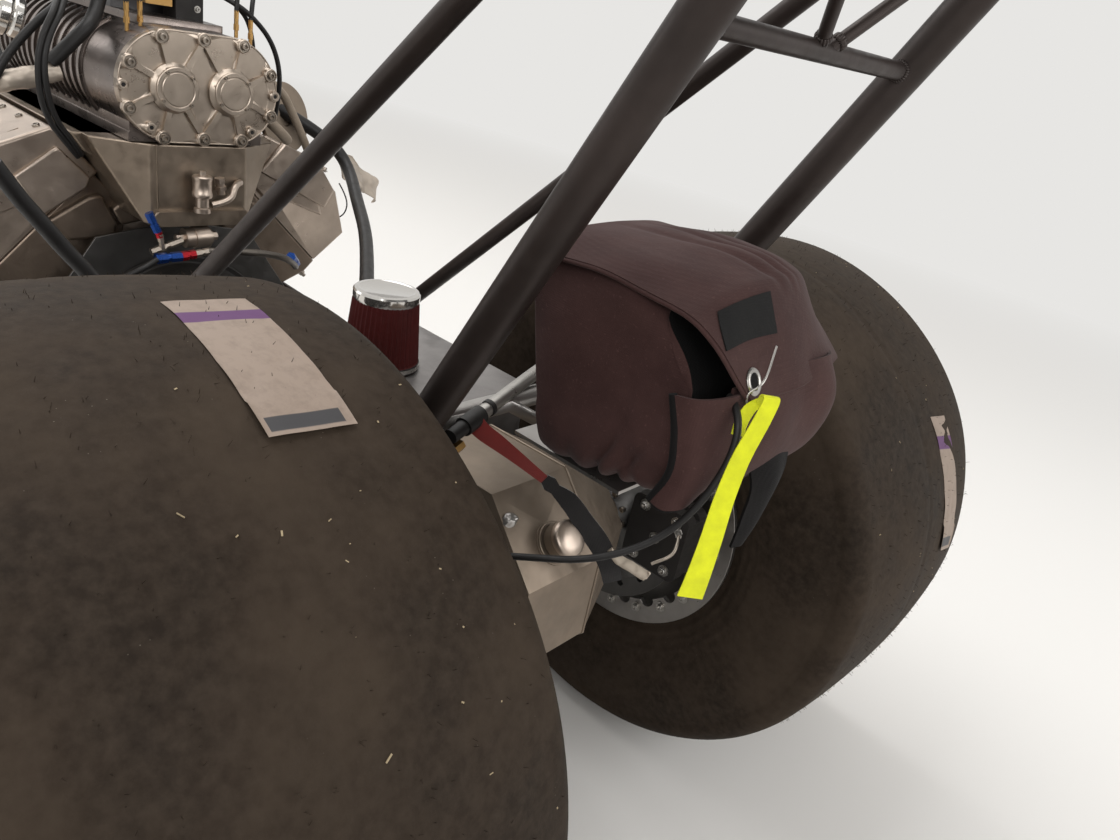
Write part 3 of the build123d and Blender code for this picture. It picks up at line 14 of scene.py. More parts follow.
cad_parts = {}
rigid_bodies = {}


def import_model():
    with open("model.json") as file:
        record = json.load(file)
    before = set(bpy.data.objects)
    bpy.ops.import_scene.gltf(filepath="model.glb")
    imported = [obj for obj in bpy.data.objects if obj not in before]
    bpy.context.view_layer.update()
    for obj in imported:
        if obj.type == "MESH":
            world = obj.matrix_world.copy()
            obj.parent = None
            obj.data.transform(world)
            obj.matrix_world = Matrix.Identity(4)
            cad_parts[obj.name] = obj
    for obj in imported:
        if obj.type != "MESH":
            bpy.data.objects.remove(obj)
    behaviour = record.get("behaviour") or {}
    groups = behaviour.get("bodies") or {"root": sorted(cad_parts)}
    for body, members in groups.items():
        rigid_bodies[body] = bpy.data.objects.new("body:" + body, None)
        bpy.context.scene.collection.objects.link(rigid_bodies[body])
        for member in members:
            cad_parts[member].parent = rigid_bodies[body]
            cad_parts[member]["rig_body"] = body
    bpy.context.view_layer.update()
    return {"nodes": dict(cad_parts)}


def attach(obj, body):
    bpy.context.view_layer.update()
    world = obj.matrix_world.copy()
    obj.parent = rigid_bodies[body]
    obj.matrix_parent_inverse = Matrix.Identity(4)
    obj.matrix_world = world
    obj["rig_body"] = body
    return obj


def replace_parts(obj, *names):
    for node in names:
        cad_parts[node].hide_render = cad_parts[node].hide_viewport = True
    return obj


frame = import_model()

# Places that the frame's sizes give, from the ground below the rear axle
REAR_AXLE_X = -3.426
SLICK_RADIUS = 0.438
SLICK_Y = 0.520
LEFT, RIGHT = 1, -1
HANDS = ((LEFT, "left"), (RIGHT, "right"))
UP, BACK = (0, 0, 1), (-1, 0, 0)


def car(points):
    """Moves one or more points given from the ground below the rear axle into the frame."""
    return np.asarray(points, float) + (REAR_AXLE_X, 0.0, 0.0)


def mm(points):
    """Points given in millimetres, in metres."""
    return np.asarray(points, float) / 1000


def car_mm(points):
    """The same as car for points given in millimetres."""
    return car(mm(points))


def moved(shape):
    """A (vertices, quads) shape given from the ground below the rear axle, in the frame."""
    return car(shape[0]), shape[1]


# Surfaces


def grid_quads(rows, columns, close_rows=False, close_columns=False):
    """Corner numbers of the quads of a grid with that many rows and columns of points."""
    r = np.arange(rows if close_rows else rows - 1)
    c = np.arange(columns if close_columns else columns - 1)
    r, c = np.meshgrid(r, c, indexing="ij")
    r1, c1 = (r + 1) % rows, (c + 1) % columns
    quads = np.stack([r * columns + c, r1 * columns + c, r1 * columns + c1, r * columns + c1], -1)
    return quads.reshape(-1, 4)


def surface(points, close_rows=False, close_columns=False):
    """A grid of points, (rows, columns, 3), as vertices and quads."""
    rows, columns = points.shape[:2]
    return points.reshape(-1, 3), grid_quads(rows, columns, close_rows, close_columns)


def joined(shapes):
    """Several (vertices, quads) shapes as one."""
    vertices, quads, start = [], [], 0
    for v, q in shapes:
        vertices.append(v)
        quads.append(q + start)
        start += len(v)
    return np.concatenate(vertices), np.concatenate(quads)


def piece(name, shape, finish, body="chassis", smooth=40, uv=None):
    """A scene object of a (vertices, quads) shape: doubles merged, faces outwards, smooth up to an angle."""
    vertices, quads = shape
    mesh = bpy.data.meshes.new(name)
    mesh.from_pydata(vertices.tolist(), [], quads.tolist())
    if uv is not None:
        layer = mesh.uv_layers.new(name="UVMap")
        corners = np.zeros(len(mesh.loops), np.int32)
        mesh.loops.foreach_get("vertex_index", corners)
        layer.data.foreach_set("uv", np.asarray(uv, np.float32)[corners].ravel())
    work = bmesh.new()
    work.from_mesh(mesh)
    bmesh.ops.remove_doubles(work, verts=work.verts, dist=2e-6)
    bmesh.ops.dissolve_degenerate(work, edges=work.edges, dist=1e-7)
    bmesh.ops.recalc_face_normals(work, faces=work.faces)
    work.to_mesh(mesh)
    work.free()
    return place(name, mesh, finish, body, smooth)


def place(name, mesh, finish, body="chassis", smooth=40):
    """Links a mesh as a piece that rides on a body, with its finish."""
    mesh.name = name
    if smooth:
        mesh.shade_smooth()
        mesh.set_sharp_from_angle(angle=math.radians(smooth))
    mesh.materials.clear()
    mesh.materials.append(finish)
    made = bpy.data.objects.new(name, mesh)
    bpy.context.scene.collection.objects.link(made)
    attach(made, body)
    return made


def circle(count, start=0.0):
    """Angles evenly round a circle."""
    return start + 2 * math.pi * np.arange(count) / count


def fractions(rows, columns):
    """Fractions u down the rows and v across the columns of a grid."""
    return np.meshgrid(np.linspace(0, 1, rows), np.linspace(0, 1, columns), indexing="ij")


def between(u, v, near_left, near_right, far_left, far_right):
    """Blends four corner values over fractions u away and v across."""
    return (near_left * (1 - v) + near_right * v) * (1 - u) + (far_left * (1 - v) + far_right * v) * u


def along(count, *stops):
    """Values at even fractions of a path, straight between stops of (fraction, value)."""
    return np.interp(np.linspace(0, 1, count), *np.transpose(stops))


def ramp(x, start, run):
    """0 up to a start, 1 beyond its run and straight between."""
    return np.clip((x - start) / run, 0, 1)


def hump(x, half):
    """A soft hump of height 1 about zero: exp(-(x / half)^2)."""
    return np.exp(-((x / half) ** 2))


def turned(profile, segments):
    """Turns a profile of (radius, height) points about the Z axis: x = r cos a, y = r sin a, z = h."""
    r, h = mm(profile).T
    a = circle(segments)[:, None]
    return surface(
        np.stack([r * np.cos(a), r * np.sin(a), np.broadcast_to(h, (segments, len(h)))], -1), close_rows=True,
    )


def unit(v):
    """Vectors brought to length 1."""
    v = np.asarray(v, float)
    return v / np.linalg.norm(v, axis=-1, keepdims=True)


def aimed(direction):
    """Rotation matrices whose third column is each given direction."""
    w = unit(np.atleast_2d(np.asarray(direction, float)))
    helper = np.where(np.abs(w[:, 2:3]) < 0.9, [[0.0, 0.0, 1.0]], [[1.0, 0.0, 0.0]])
    u = unit(np.cross(helper, w))
    v = np.cross(w, u)
    return np.stack([u, v, w], -1)


def strewn(shape, turns, sizes, places, bend=0.0):
    """Copies of a shape, each scaled along its axes, raised by bend * x^2, turned and moved to its place."""
    vertices, quads = shape
    scaled = vertices * sizes[:, None, :]
    scaled[..., 2] += bend * scaled[..., 0] ** 2
    placed = np.einsum("nij,nvj->nvi", turns, scaled) + places[:, None, :]
    copies = quads + (np.arange(len(places)) * len(vertices))[:, None, None]
    return placed.reshape(-1, 3), copies.reshape(-1, quads.shape[1])


def set_at(shape, places, direction, scale=1.0):
    """Copies of a shape made about the Z axis, with bases at the places and axes along the direction."""
    places = np.atleast_2d(np.asarray(places, float))
    turns = aimed(np.broadcast_to(direction, places.shape))
    return strewn(shape, turns, np.full(places.shape, float(scale)), places)


def pipe_grid(path, radius, sides, flatten=1.0):
    """Rings of points round a path: each ring lies across the path and is carried on without twist."""
    path = np.asarray(path, float)
    radius = np.broadcast_to(np.asarray(radius, float), (len(path),))
    tangent = unit(np.gradient(path, axis=0))
    side = np.zeros_like(path)
    side[0] = aimed(tangent[0])[0][:, 0]
    for i in range(1, len(path)):
        carried = side[i - 1] - tangent[i] * np.dot(side[i - 1], tangent[i])
        side[i] = carried / np.linalg.norm(carried)
    up = np.cross(tangent, side)
    a = circle(sides)[None, :, None]
    ring = side[:, None, :] * np.cos(a) + flatten * up[:, None, :] * np.sin(a)
    return path[:, None, :] + radius[:, None, None] * ring


def capped(rings):
    """A grid of rings that is closed at its ends: each end ring's middle is added beyond it."""
    first, last = (np.broadcast_to(rings[end].mean(0), (1, *rings.shape[1:])) for end in (0, -1))
    return np.concatenate([first, rings, last])


def pipe(path, radius, sides, flatten=1.0):
    """A closed round surface along a path."""
    return surface(capped(pipe_grid(path, radius, sides, flatten)), close_columns=True)


def line(a, b, count=3):
    """Points evenly along the line from a to b."""
    t = np.linspace(0, 1, count)[:, None]
    return np.asarray(a, float) * (1 - t) + np.asarray(b, float) * t


def rods(start, end, parts):
    """Rods on the line from start to end: the fractions they span, radius, sides and rings if not 3."""
    start = np.asarray(start, float)
    step = end - start
    return joined([
        pipe(line(start + step * a, start + step * b, *rings), r, n) for a, b, r, n, *rings in parts
    ])


def curve_points(points, resolution):
    """Points along the smooth curve that has these control points."""
    data = bpy.data.curves.new("route", "CURVE")
    data.dimensions = "3D"
    data.resolution_u = resolution
    spline = data.splines.new("NURBS")
    spline.points.add(len(points) - 1)
    for point, place_ in zip(spline.points, points):
        point.co = (*place_, 1.0)
    spline.order_u = 3
    spline.use_endpoint_u = True
    holder = bpy.data.objects.new("route", data)
    bpy.context.scene.collection.objects.link(holder)
    bpy.context.view_layer.update()
    mesh = bpy.data.meshes.new_from_object(holder)
    found = np.zeros(len(mesh.vertices) * 3)
    mesh.vertices.foreach_get("co", found)
    bpy.data.objects.remove(holder)
    bpy.data.curves.remove(data)
    bpy.data.meshes.remove(mesh)
    return found.reshape(-1, 3)


def block(low, high):
    """A box between two corners, as vertices and quads."""
    (x0, y0, z0), (x1, y1, z1) = low, high
    v = np.array([(x, y, z) for x in (x0, x1) for y in (y0, y1) for z in (z0, z1)], float)
    q = np.array([(0, 1, 3, 2), (4, 6, 7, 5), (0, 4, 5, 1), (2, 3, 7, 6), (0, 2, 6, 4), (1, 5, 7, 3)])
    return v, q


# Finishes


class Finish:
    """Node tree of one finish: a Principled shader that reads the piece's own coordinates."""

    def __init__(self, name, colour, metallic=0.0, roughness=0.5, **sockets):
        self.material = bpy.data.materials.new(name)
        self.material.use_nodes = True
        self.tree = self.material.node_tree
        self.shader = self.tree.nodes["Principled BSDF"]
        self.shader.inputs["Base Color"].default_value = (*colour, 1)
        self.shader.inputs["Metallic"].default_value = metallic
        self.shader.inputs["Roughness"].default_value = roughness
        for socket, value in sockets.items():
            self.shader.inputs[socket.replace("_", " ")].default_value = value
        self.place = self.tree.nodes.new("ShaderNodeTexCoord")

    def node(self, kind, **settings):
        """Adds a node."""
        made = self.tree.nodes.new(kind)
        for key, value in settings.items():
            setattr(made, key, value)
        return made

    def link(self, a, b):
        """Links an output to an input."""
        self.tree.links.new(a, b)

    def plug(self, value, socket):
        """Feeds an input from an output, a colour or a plain value."""
        if hasattr(value, "links"):
            self.link(value, socket)
        else:
            socket.default_value = (*value, 1) if hasattr(value, "__len__") else value

    def coordinates(self, stretch=(1, 1, 1), source="Object"):
        """The piece's own coordinates, stretched."""
        mapping = self.node("ShaderNodeMapping")
        mapping.inputs["Scale"].default_value = stretch
        self.link(self.place.outputs[source], mapping.inputs["Vector"])
        return mapping.outputs["Vector"]

    def noise(self, scale, detail=4.0, rough=0.5, vector=None):
        """Cloudy noise over the piece's own coordinates, or over a vector."""
        made = self.node("ShaderNodeTexNoise")
        made.inputs["Scale"].default_value = scale
        made.inputs["Detail"].default_value = detail
        made.inputs["Roughness"].default_value = rough
        self.link(vector or self.place.outputs["Object"], made.inputs["Vector"])
        return made.outputs["Fac"]

    def voronoi(self, scale):
        """Distance to the nearest of many scattered points."""
        made = self.node("ShaderNodeTexVoronoi")
        made.inputs["Scale"].default_value = scale
        self.link(self.place.outputs["Object"], made.inputs["Vector"])
        return made.outputs["Distance"]

    def wave(self, scale, direction, vector=None):
        """Even soft bands across an axis."""
        made = self.node("ShaderNodeTexWave", bands_direction=direction)
        made.inputs["Scale"].default_value = scale
        self.link(vector or self.place.outputs["Object"], made.inputs["Vector"])
        return made.outputs["Fac"]

    def steps(self, factor, stops):
        """A ramp of (place, colour or grey) stops."""
        made = self.node("ShaderNodeValToRGB")
        ramp = made.color_ramp
        while len(ramp.elements) < len(stops):
            ramp.elements.new(0.5)
        for element, (at, value) in zip(ramp.elements, stops):
            element.position = at
            colour = value if hasattr(value, "__len__") else (value, value, value)
            element.color = (*colour, 1)
        self.link(factor, made.inputs["Fac"])
        return made.outputs["Color"]

    def mixed(self, factor, a, b, blend="MIX"):
        """Mixes two colours, each a socket or a plain colour."""
        made = self.node("ShaderNodeMix", data_type="RGBA", blend_type=blend)
        for number, value in ((0, factor), (6, a), (7, b)):
            self.plug(value, made.inputs[number])
        return made.outputs[2]

    def product(self, a, b):
        """Multiplies two values, each a socket or a plain value."""
        made = self.node("ShaderNodeMath", operation="MULTIPLY")
        self.plug(a, made.inputs[0])
        self.plug(b, made.inputs[1])
        return made.outputs[0]

    def bump(self, height, strength, distance):
        """Adds a bump on top of the finish's earlier bumps."""
        made = self.node("ShaderNodeBump")
        made.inputs["Strength"].default_value = strength
        made.inputs["Distance"].default_value = distance
        self.link(height, made.inputs["Height"])
        normal = self.shader.inputs["Normal"]
        if normal.links:
            self.link(normal.links[0].from_socket, made.inputs["Normal"])
        self.link(made.outputs["Normal"], normal)

    def colour(self, socket):
        """Takes the base colour from an output."""
        self.link(socket, self.shader.inputs["Base Color"])

    def roughness(self, socket):
        """Takes the roughness from an output."""
        self.link(socket, self.shader.inputs["Roughness"])


# Floor, light and camera


def pale_rays(tree):
    """1 for the rays that see the pale background: those of the camera, of gloss and of glass."""
    rays = tree.nodes.new("ShaderNodeLightPath")
    total = rays.outputs["Is Camera Ray"]
    for kind in ("Is Glossy Ray", "Is Transmission Ray"):
        added = tree.nodes.new("ShaderNodeMath")
        added.use_clamp = True
        tree.links.new(total, added.inputs[0])
        tree.links.new(rays.outputs[kind], added.inputs[1])
        total = added.outputs[0]
    return total


def studio():
    """A pale floor, a soft world and four soft lamps."""
    bpy.ops.mesh.primitive_plane_add(size=60)
    floor = bpy.context.object
    floor.name = "floor"
    ground = Finish("floor_grey", (0.8, 0.785, 0.76), roughness=0.9)
    distance = ground.node("ShaderNodeVectorMath", operation="LENGTH")
    ground.link(ground.coordinates((0.55, 1, 1)), distance.inputs[0])
    far = ground.steps(ground.product(distance.outputs["Value"], 0.1), [(0.22, 0.0), (0.62, 1.0)])
    glow = ground.node("ShaderNodeEmission")
    glow.inputs["Color"].default_value = (0.8, 0.79, 0.77, 1)
    fade = ground.node("ShaderNodeMixShader")
    ground.link(ground.product(far, pale_rays(ground.tree)), fade.inputs[0])
    ground.link(ground.shader.outputs[0], fade.inputs[1])
    ground.link(glow.outputs[0], fade.inputs[2])
    ground.link(fade.outputs[0], ground.tree.nodes["Material Output"].inputs["Surface"])
    floor.data.materials.append(ground.material)
    world = bpy.data.worlds.new("studio")
    bpy.context.scene.world = world
    world.use_nodes = True
    sky = world.node_tree.nodes["Background"]
    sky.inputs["Color"].default_value = (0.95, 0.92, 0.88, 1)
    sky.inputs["Strength"].default_value = 0.5
    # The backdrop that is seen, also in gloss and glass, is paler than the light it gives
    pale = world.node_tree.nodes.new("ShaderNodeBackground")
    pale.inputs["Color"].default_value = (0.8, 0.79, 0.77, 1)
    pick = world.node_tree.nodes.new("ShaderNodeMixShader")
    world.node_tree.links.new(pale_rays(world.node_tree), pick.inputs[0])
    world.node_tree.links.new(sky.outputs[0], pick.inputs[1])
    world.node_tree.links.new(pale.outputs[0], pick.inputs[2])
    world.node_tree.links.new(pick.outputs[0], world.node_tree.nodes["World Output"].inputs["Surface"])
    # Name, place, aimed at, width, length, power
    for name, place_, target, wide, long, power in (
        ("overhead", (0.3, 0.4, 5.0), (0.3, 0, 0), 4.0, 10.0, 330),
        ("left_soft", (-6.0, 4.0, 3.0), (-2.8, 0, 0.6), 3.4, 2.6, 95),
        ("rear_soft", (-7.2, -1.6, 2.6), (-3.4, -0.3, 0.6), 3.0, 2.4, 85),
        ("front_soft", (5.5, 4.0, 4.5), (2.0, 0, 0.3), 4.0, 4.0, 90),
    ):
        data = bpy.data.lights.new(name, "AREA")
        data.shape = "RECTANGLE"
        data.size = wide
        data.size_y = long
        data.energy = power
        lamp = bpy.data.objects.new(name, data)
        lamp.location = place_
        lamp.rotation_euler = (Vector(target) - Vector(place_)).to_track_quat("-Z", "Y").to_euler()
        if name == "overhead":
            lamp.rotation_euler = (0, 0, math.pi / 2)
        bpy.context.scene.collection.objects.link(lamp)
    bpy.context.scene.view_settings.view_transform = "Standard"


CAMERA_PLACE = (REAR_AXLE_X - 0.6607, 0.7582, 1.1358)
CAMERA_YAW = math.radians(-52.27)
CAMERA_PITCH = math.radians(-24.61)
CAMERA_ROLL = math.radians(11.44)
CAMERA_LENS = 27.041


def photo_camera():
    """The photograph's camera: its look direction from yaw and pitch, then rolled about that direction."""
    look = Vector((
        math.cos(CAMERA_PITCH) * math.cos(CAMERA_YAW), math.cos(CAMERA_PITCH) * math.sin(CAMERA_YAW),
        math.sin(CAMERA_PITCH),
    ))
    level = Vector((math.sin(CAMERA_YAW), -math.cos(CAMERA_YAW), 0))
    above = level.cross(look)
    right = level * math.cos(CAMERA_ROLL) + above * math.sin(CAMERA_ROLL)
    up = above * math.cos(CAMERA_ROLL) - level * math.sin(CAMERA_ROLL)
    data = bpy.data.cameras.new("photo_camera")
    data.lens = CAMERA_LENS
    data.sensor_width = 36
    data.clip_start = 0.02
    camera = bpy.data.objects.new("photo_camera", data)
    bpy.context.scene.collection.objects.link(camera)
    camera.matrix_world = Matrix((
        (right.x, up.x, -look.x, CAMERA_PLACE[0]), (right.y, up.y, -look.y, CAMERA_PLACE[1]),
        (right.z, up.z, -look.z, CAMERA_PLACE[2]), (0, 0, 0, 1),
    ))
    bpy.context.scene.camera = camera


studio()
photo_camera()


# Finishes of the main pieces


def slick_rubber():
    """Scuffed bare rubber: greyish wear in blotches, pale dust specks, fine pits."""
    made = Finish("slick_rubber", (0.026, 0.018, 0.012), roughness=0.8, Specular_IOR_Level=0.12)
    blotch = made.noise(5.5, 6, 0.62)
    fine = made.noise(90, 5, 0.6)
    wear = made.steps(
        blotch,
        [(0.36, (0.0145, 0.0098, 0.0064)), (0.5, (0.025, 0.0172, 0.0116)), (0.68, (0.045, 0.0325, 0.0228))],
    )
    speck = made.steps(made.voronoi(150), [(0.0, 1.0), (0.075, 0.0)])
    some = made.steps(made.noise(17, 3), [(0.56, 0.0), (0.62, 1.0)])
    dust = made.mixed(1.0, speck, some, "MULTIPLY")
    grey = made.mixed(made.steps(fine, [(0.35, 0.0), (0.75, 0.55)]), wear, (0.052, 0.0385, 0.0278))
    made.colour(made.mixed(dust, grey, (0.23, 0.2, 0.16)))
    made.roughness(made.steps(blotch, [(0.3, 0.64), (0.7, 0.86)]))
    made.bump(made.noise(420, 4, 0.6), 0.35, 0.0006)
    made.bump(made.noise(55, 6, 0.65), 0.35, 0.0012)
    return made.material


def alloy(name, colour, roughness, grain=260, grain_depth=0.0002, streak=None, dull=0.25, metallic=0.9):
    """Bare metal: blotches of sheen, a fine grain and, if streak names an axis, machining lines along it."""
    made = Finish(name, colour, metallic=metallic, roughness=roughness)
    blotch = made.noise(14, 5, 0.6)
    dark = tuple(c * (1 - dull) for c in colour)
    made.colour(made.mixed(made.steps(blotch, [(0.35, 0.0), (0.7, 1.0)]), dark, colour))
    made.roughness(
        made.steps(made.noise(35, 6, 0.65), [(0.3, roughness * 0.75), (0.75, min(1.0, roughness * 1.35))])
    )
    made.bump(made.noise(grain, 5, 0.65), 0.4, grain_depth)
    if streak:
        stretch = {"x": (3, 900, 900), "y": (900, 3, 900), "z": (900, 900, 3)}[streak]
        made.bump(made.noise(1.0, 3, 0.5, made.coordinates(stretch)), 0.25, 0.0001)
    return made.material


def paint(name, colour, roughness=0.35, metallic=0.0, coat=0.0, orange_peel=0.15, dust=0.0):
    """Sprayed paint with orange peel and, if asked, a film of dust on faces that look up."""
    made = Finish(name, colour, metallic=metallic, roughness=roughness, Coat_Weight=coat, Coat_Roughness=0.12,
                  Specular_IOR_Level=0.5 if coat else 0.3)
    tone = made.noise(9, 4, 0.6)
    dark = tuple(c * 0.8 for c in colour)
    light = tuple(min(1.0, c * 1.18) for c in colour)
    base = made.steps(tone, [(0.35, dark), (0.65, light)])
    if dust:
        upward = made.node("ShaderNodeSeparateXYZ")
        made.link(made.node("ShaderNodeNewGeometry").outputs["Normal"], upward.inputs[0])
        film = made.mixed(1.0, made.steps(upward.outputs["Z"], [(0.2, 0.0), (0.95, dust)]),
                          made.steps(made.noise(40, 6, 0.7), [(0.4, 0.15), (0.7, 1.0)]), "MULTIPLY")
        base = made.mixed(film, base, (0.22, 0.2, 0.17))
    made.colour(base)
    made.roughness(
        made.steps(made.noise(60, 5, 0.6), [(0.3, roughness * 0.85), (0.7, min(1.0, roughness * 1.25))])
    )
    made.bump(made.noise(700, 3, 0.5), orange_peel, 0.00025)
    return made.material


RUBBER = slick_rubber()
TUBE_PAINT = paint("tube_paint", (0.036, 0.027, 0.024), roughness=0.4, metallic=0.45, orange_peel=0.3)
BODY_PAINT = paint("body_paint", (0.03, 0.031, 0.034), roughness=0.25, coat=0.8)
WING_PAINT = paint("wing_paint", (0.035, 0.035, 0.037), roughness=0.4, coat=0.3)
AXLE_PAINT = paint("axle_paint", (0.215, 0.170, 0.130), roughness=0.42, metallic=0.6, dust=0.15)
BLACK_STEEL = paint("black_steel", (0.016, 0.014, 0.013), roughness=0.5, dust=0.08)
CASE_ALLOY = alloy("blower_case_alloy", (0.205, 0.172, 0.155), 0.3, grain=420, grain_depth=0.00008)
CAST = alloy("cast_alloy", (0.22, 0.172, 0.134), 0.42, grain=300, grain_depth=0.0003)
WARM_CAST = alloy("manifold_alloy", (0.28, 0.225, 0.174), 0.4, grain=300, grain_depth=0.0002)
PLATE_ALLOY = alloy("motor_plate_alloy", (0.13, 0.125, 0.12), 0.4, streak="y")
HAT_ALLOY = alloy("hat_alloy", (0.09, 0.088, 0.09), 0.38, grain=300)
MACHINED = alloy("blower_cover_alloy", (0.46, 0.386, 0.318), 0.33, grain=500, grain_depth=0.00006, dull=0.15)
COVER_ALLOY = alloy("valve_cover_alloy", (0.45, 0.372, 0.31), 0.34, streak="x", dull=0.2)
SHEET_ALLOY = alloy("sheet_alloy", (0.33, 0.31, 0.3), 0.42, streak="y")
RIM_ALLOY = alloy("rim_alloy", (0.34, 0.32, 0.3), 0.34, grain_depth=0.00004)
STEEL = alloy("machined_steel", (0.42, 0.4, 0.38), 0.35)
SEAT_SHELL = paint("seat_shell", (0.02, 0.02, 0.022), roughness=0.5)
BELT = paint("belt_rubber", (0.02, 0.02, 0.02), roughness=0.7)
FILTER_RED = paint("filter_red", (0.06, 0.004, 0.003), roughness=0.65)


# CAD nodes with their real finish


def rounded(made, width, segments=3, least=30):
    """Rounds a piece's edges where its faces meet at more than the least angle, in degrees."""
    bevel = made.modifiers.new("softened edges", "BEVEL")
    bevel.width = width
    bevel.segments = segments
    bevel.limit_method = "ANGLE"
    bevel.angle_limit = math.radians(least)
    return made


def stands_for(made, node):
    """Says that a piece replaces a node: the node is hidden."""
    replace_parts(made, node)


def dressed(node, finish, edge, smooth):
    """Stands a merged copy of a CAD node in its place, with smooth walls and, if asked, softened edges."""
    original = frame["nodes"][node]
    mesh = original.data.copy()
    work = bmesh.new()
    work.from_mesh(mesh)
    bmesh.ops.remove_doubles(work, verts=work.verts, dist=1e-5)
    if edge:
        bmesh.ops.dissolve_limit(work, angle_limit=math.radians(1.0), verts=work.verts, edges=work.edges)
    work.to_mesh(mesh)
    work.free()
    copy = place(node + "_finished", mesh, finish, original["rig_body"], smooth=smooth)
    stands_for(copy, node)
    if edge:
        rounded(copy, edge, 2, 38)


# Node, finish, width of its softened edges
FINISHED_NODES = (
    ("rear_frame", TUBE_PAINT, 0), ("cockpit_frame", TUBE_PAINT, 0), ("front_frame", TUBE_PAINT, 0),
    ("cross_members", TUBE_PAINT, 0), ("roll_cage", TUBE_PAINT, 0), ("parachute_mount", STEEL, 0),
    ("side_panels", BODY_PAINT, 0), ("belly_pan", BODY_PAINT, 0), ("cowl", BODY_PAINT, 0),
    ("nose_cone", BODY_PAINT, 0.006), ("rear_wing", WING_PAINT, 0), ("wing_end_plates", WING_PAINT, 0.0012),
    ("front_wing", WING_PAINT, 0), ("axle_housing", AXLE_PAINT, 0.004), ("axle_plates", BLACK_STEEL, 0.001),
    ("brake_calipers", BLACK_STEEL, 0.003), ("drive_coupler", STEEL, 0.001),
    ("clutch_can", BLACK_STEEL, 0.003),
    ("engine_block", CAST, 0.004), ("oil_pan", SHEET_ALLOY, 0.004), ("cylinder_heads", CAST, 0.004),
    ("valve_covers", COVER_ALLOY, 0.005), ("blower_case", CASE_ALLOY, 0.002),
    ("blower_rear_cover", MACHINED, 0), ("drive_pulleys", MACHINED, 0.002), ("blower_belt", BELT, 0),
    ("injector_hat", HAT_ALLOY, 0.006), ("motor_plates", PLATE_ALLOY, 0.001), ("catch_tank", SHEET_ALLOY, 0),
    ("breather_filter", FILTER_RED, 0), ("rear_rims", RIM_ALLOY, 0.0012),
    ("rear_axle_shaft", PLATE_ALLOY, 0), ("driver_seat", SEAT_SHELL, 0.002), ("steering_column", STEEL, 0),
    ("steering_wheel", BLACK_STEEL, 0.002), ("pedals", SHEET_ALLOY, 0.001), ("front_axle", TUBE_PAINT, 0),
    ("front_knuckle_left", STEEL, 0.001), ("front_knuckle_right", STEEL, 0.001), ("tie_rod", STEEL, 0),
    ("front_rim_left", RIM_ALLOY, 0), ("front_rim_right", RIM_ALLOY, 0),
    ("front_tyre_left", RUBBER, 0), ("front_tyre_right", RUBBER, 0),
)
for node, finish, edge in FINISHED_NODES:
    dressed(node, finish, edge, smooth=18 if node == "blower_rear_cover" else 35)

# The blower case's foot, up to this height, is no wider than its lobes
FOOT_TOP_Z, FOOT_HALF = 0.8475, 0.122
case = bpy.data.objects["blower_case_finished"].data
spots = np.zeros(len(case.vertices) * 3)
case.vertices.foreach_get("co", spots)
spots = spots.reshape(-1, 3)
low = spots[:, 2] < FOOT_TOP_Z
spots[low, 1] = np.clip(spots[low, 1], -FOOT_HALF, FOOT_HALF)
case.vertices.foreach_set("co", spots.ravel())
case.update()


# More surfaces


def through(points, count, axis=0):
    """Smooth curve through rows of points: each span is the cubic that its four neighbours give."""
    p = np.moveaxis(np.asarray(points, float), axis, 0)
    p = np.concatenate([2 * p[:1] - p[1:2], p, 2 * p[-1:] - p[-2:-1]])
    t = np.linspace(0, len(p) - 3, count)
    i = np.minimum(t.astype(int), len(p) - 4)
    t = (t - i).reshape(-1, *[1] * (p.ndim - 1))
    a, b, c, d = p[i], p[i + 1], p[i + 2], p[i + 3]
    out = 0.5 * (2 * b + (c - a) * t + (2 * a - 5 * b + 4 * c - d) * t**2 + (3 * b - 3 * c + d - a) * t**3)
    return np.moveaxis(out, 0, axis)


def normals(points):
    """Directions that face out of a grid of points."""
    return unit(np.cross(np.gradient(points, axis=0), np.gradient(points, axis=1)) + 1e-15)


WAVES = 28


def ripple(points, scale, seed):
    """Soft uneven heights, mostly between -1 and 1: the sum of sine waves of many directions and phases."""
    rng = np.random.default_rng(seed)
    direction = unit(rng.normal(size=(WAVES, 3))) * scale * rng.uniform(0.5, 1.7, (WAVES, 1))
    phase = rng.uniform(0, 2 * math.pi, WAVES)
    return np.sin(np.asarray(points) @ direction.T + phase).sum(-1) / math.sqrt(WAVES)


def slab(points, thickness):
    """A closed sheet of that thickness on a grid of points."""
    points = np.asarray(points, float)
    lift = normals(points) * np.broadcast_to(thickness, points.shape[:2])[..., None]
    loop = np.concatenate([points + lift, points[:, ::-1]], 1)
    vertices, quads = surface(loop, close_columns=True)
    rows, columns = loop.shape[:2]
    c = np.arange(points.shape[1] - 1)
    ends = [
        np.stack(
            [
                row * columns + c, row * columns + c + 1, (row + 1) * columns - 2 - c,
                (row + 1) * columns - 1 - c,
            ],
            -1,
        )
        for row in (0, rows - 1)
    ]
    return vertices, np.concatenate([quads, *ends])


def slab_uv(flat):
    """UV of a slab's two faces from the UV of its grid."""
    return np.concatenate([flat, flat[:, ::-1]], 1).reshape(-1, 2)


def on_grid(points, u, v):
    """Points and normals of a grid at fractions u down its rows and v across its columns."""
    rows, columns = points.shape[:2]
    facing = normals(points)
    y, x = np.asarray(u) * (rows - 1), np.asarray(v) * (columns - 1)
    i, j = np.minimum(y.astype(int), rows - 2), np.minimum(x.astype(int), columns - 2)
    s, t = (y - i)[..., None], (x - j)[..., None]

    def blend(g):
        return (g[i, j] * (1 - s) + g[i + 1, j] * s) * (1 - t) + (
            g[i, j + 1] * (1 - s) + g[i + 1, j + 1] * s
        ) * t

    return blend(points), unit(blend(facing))


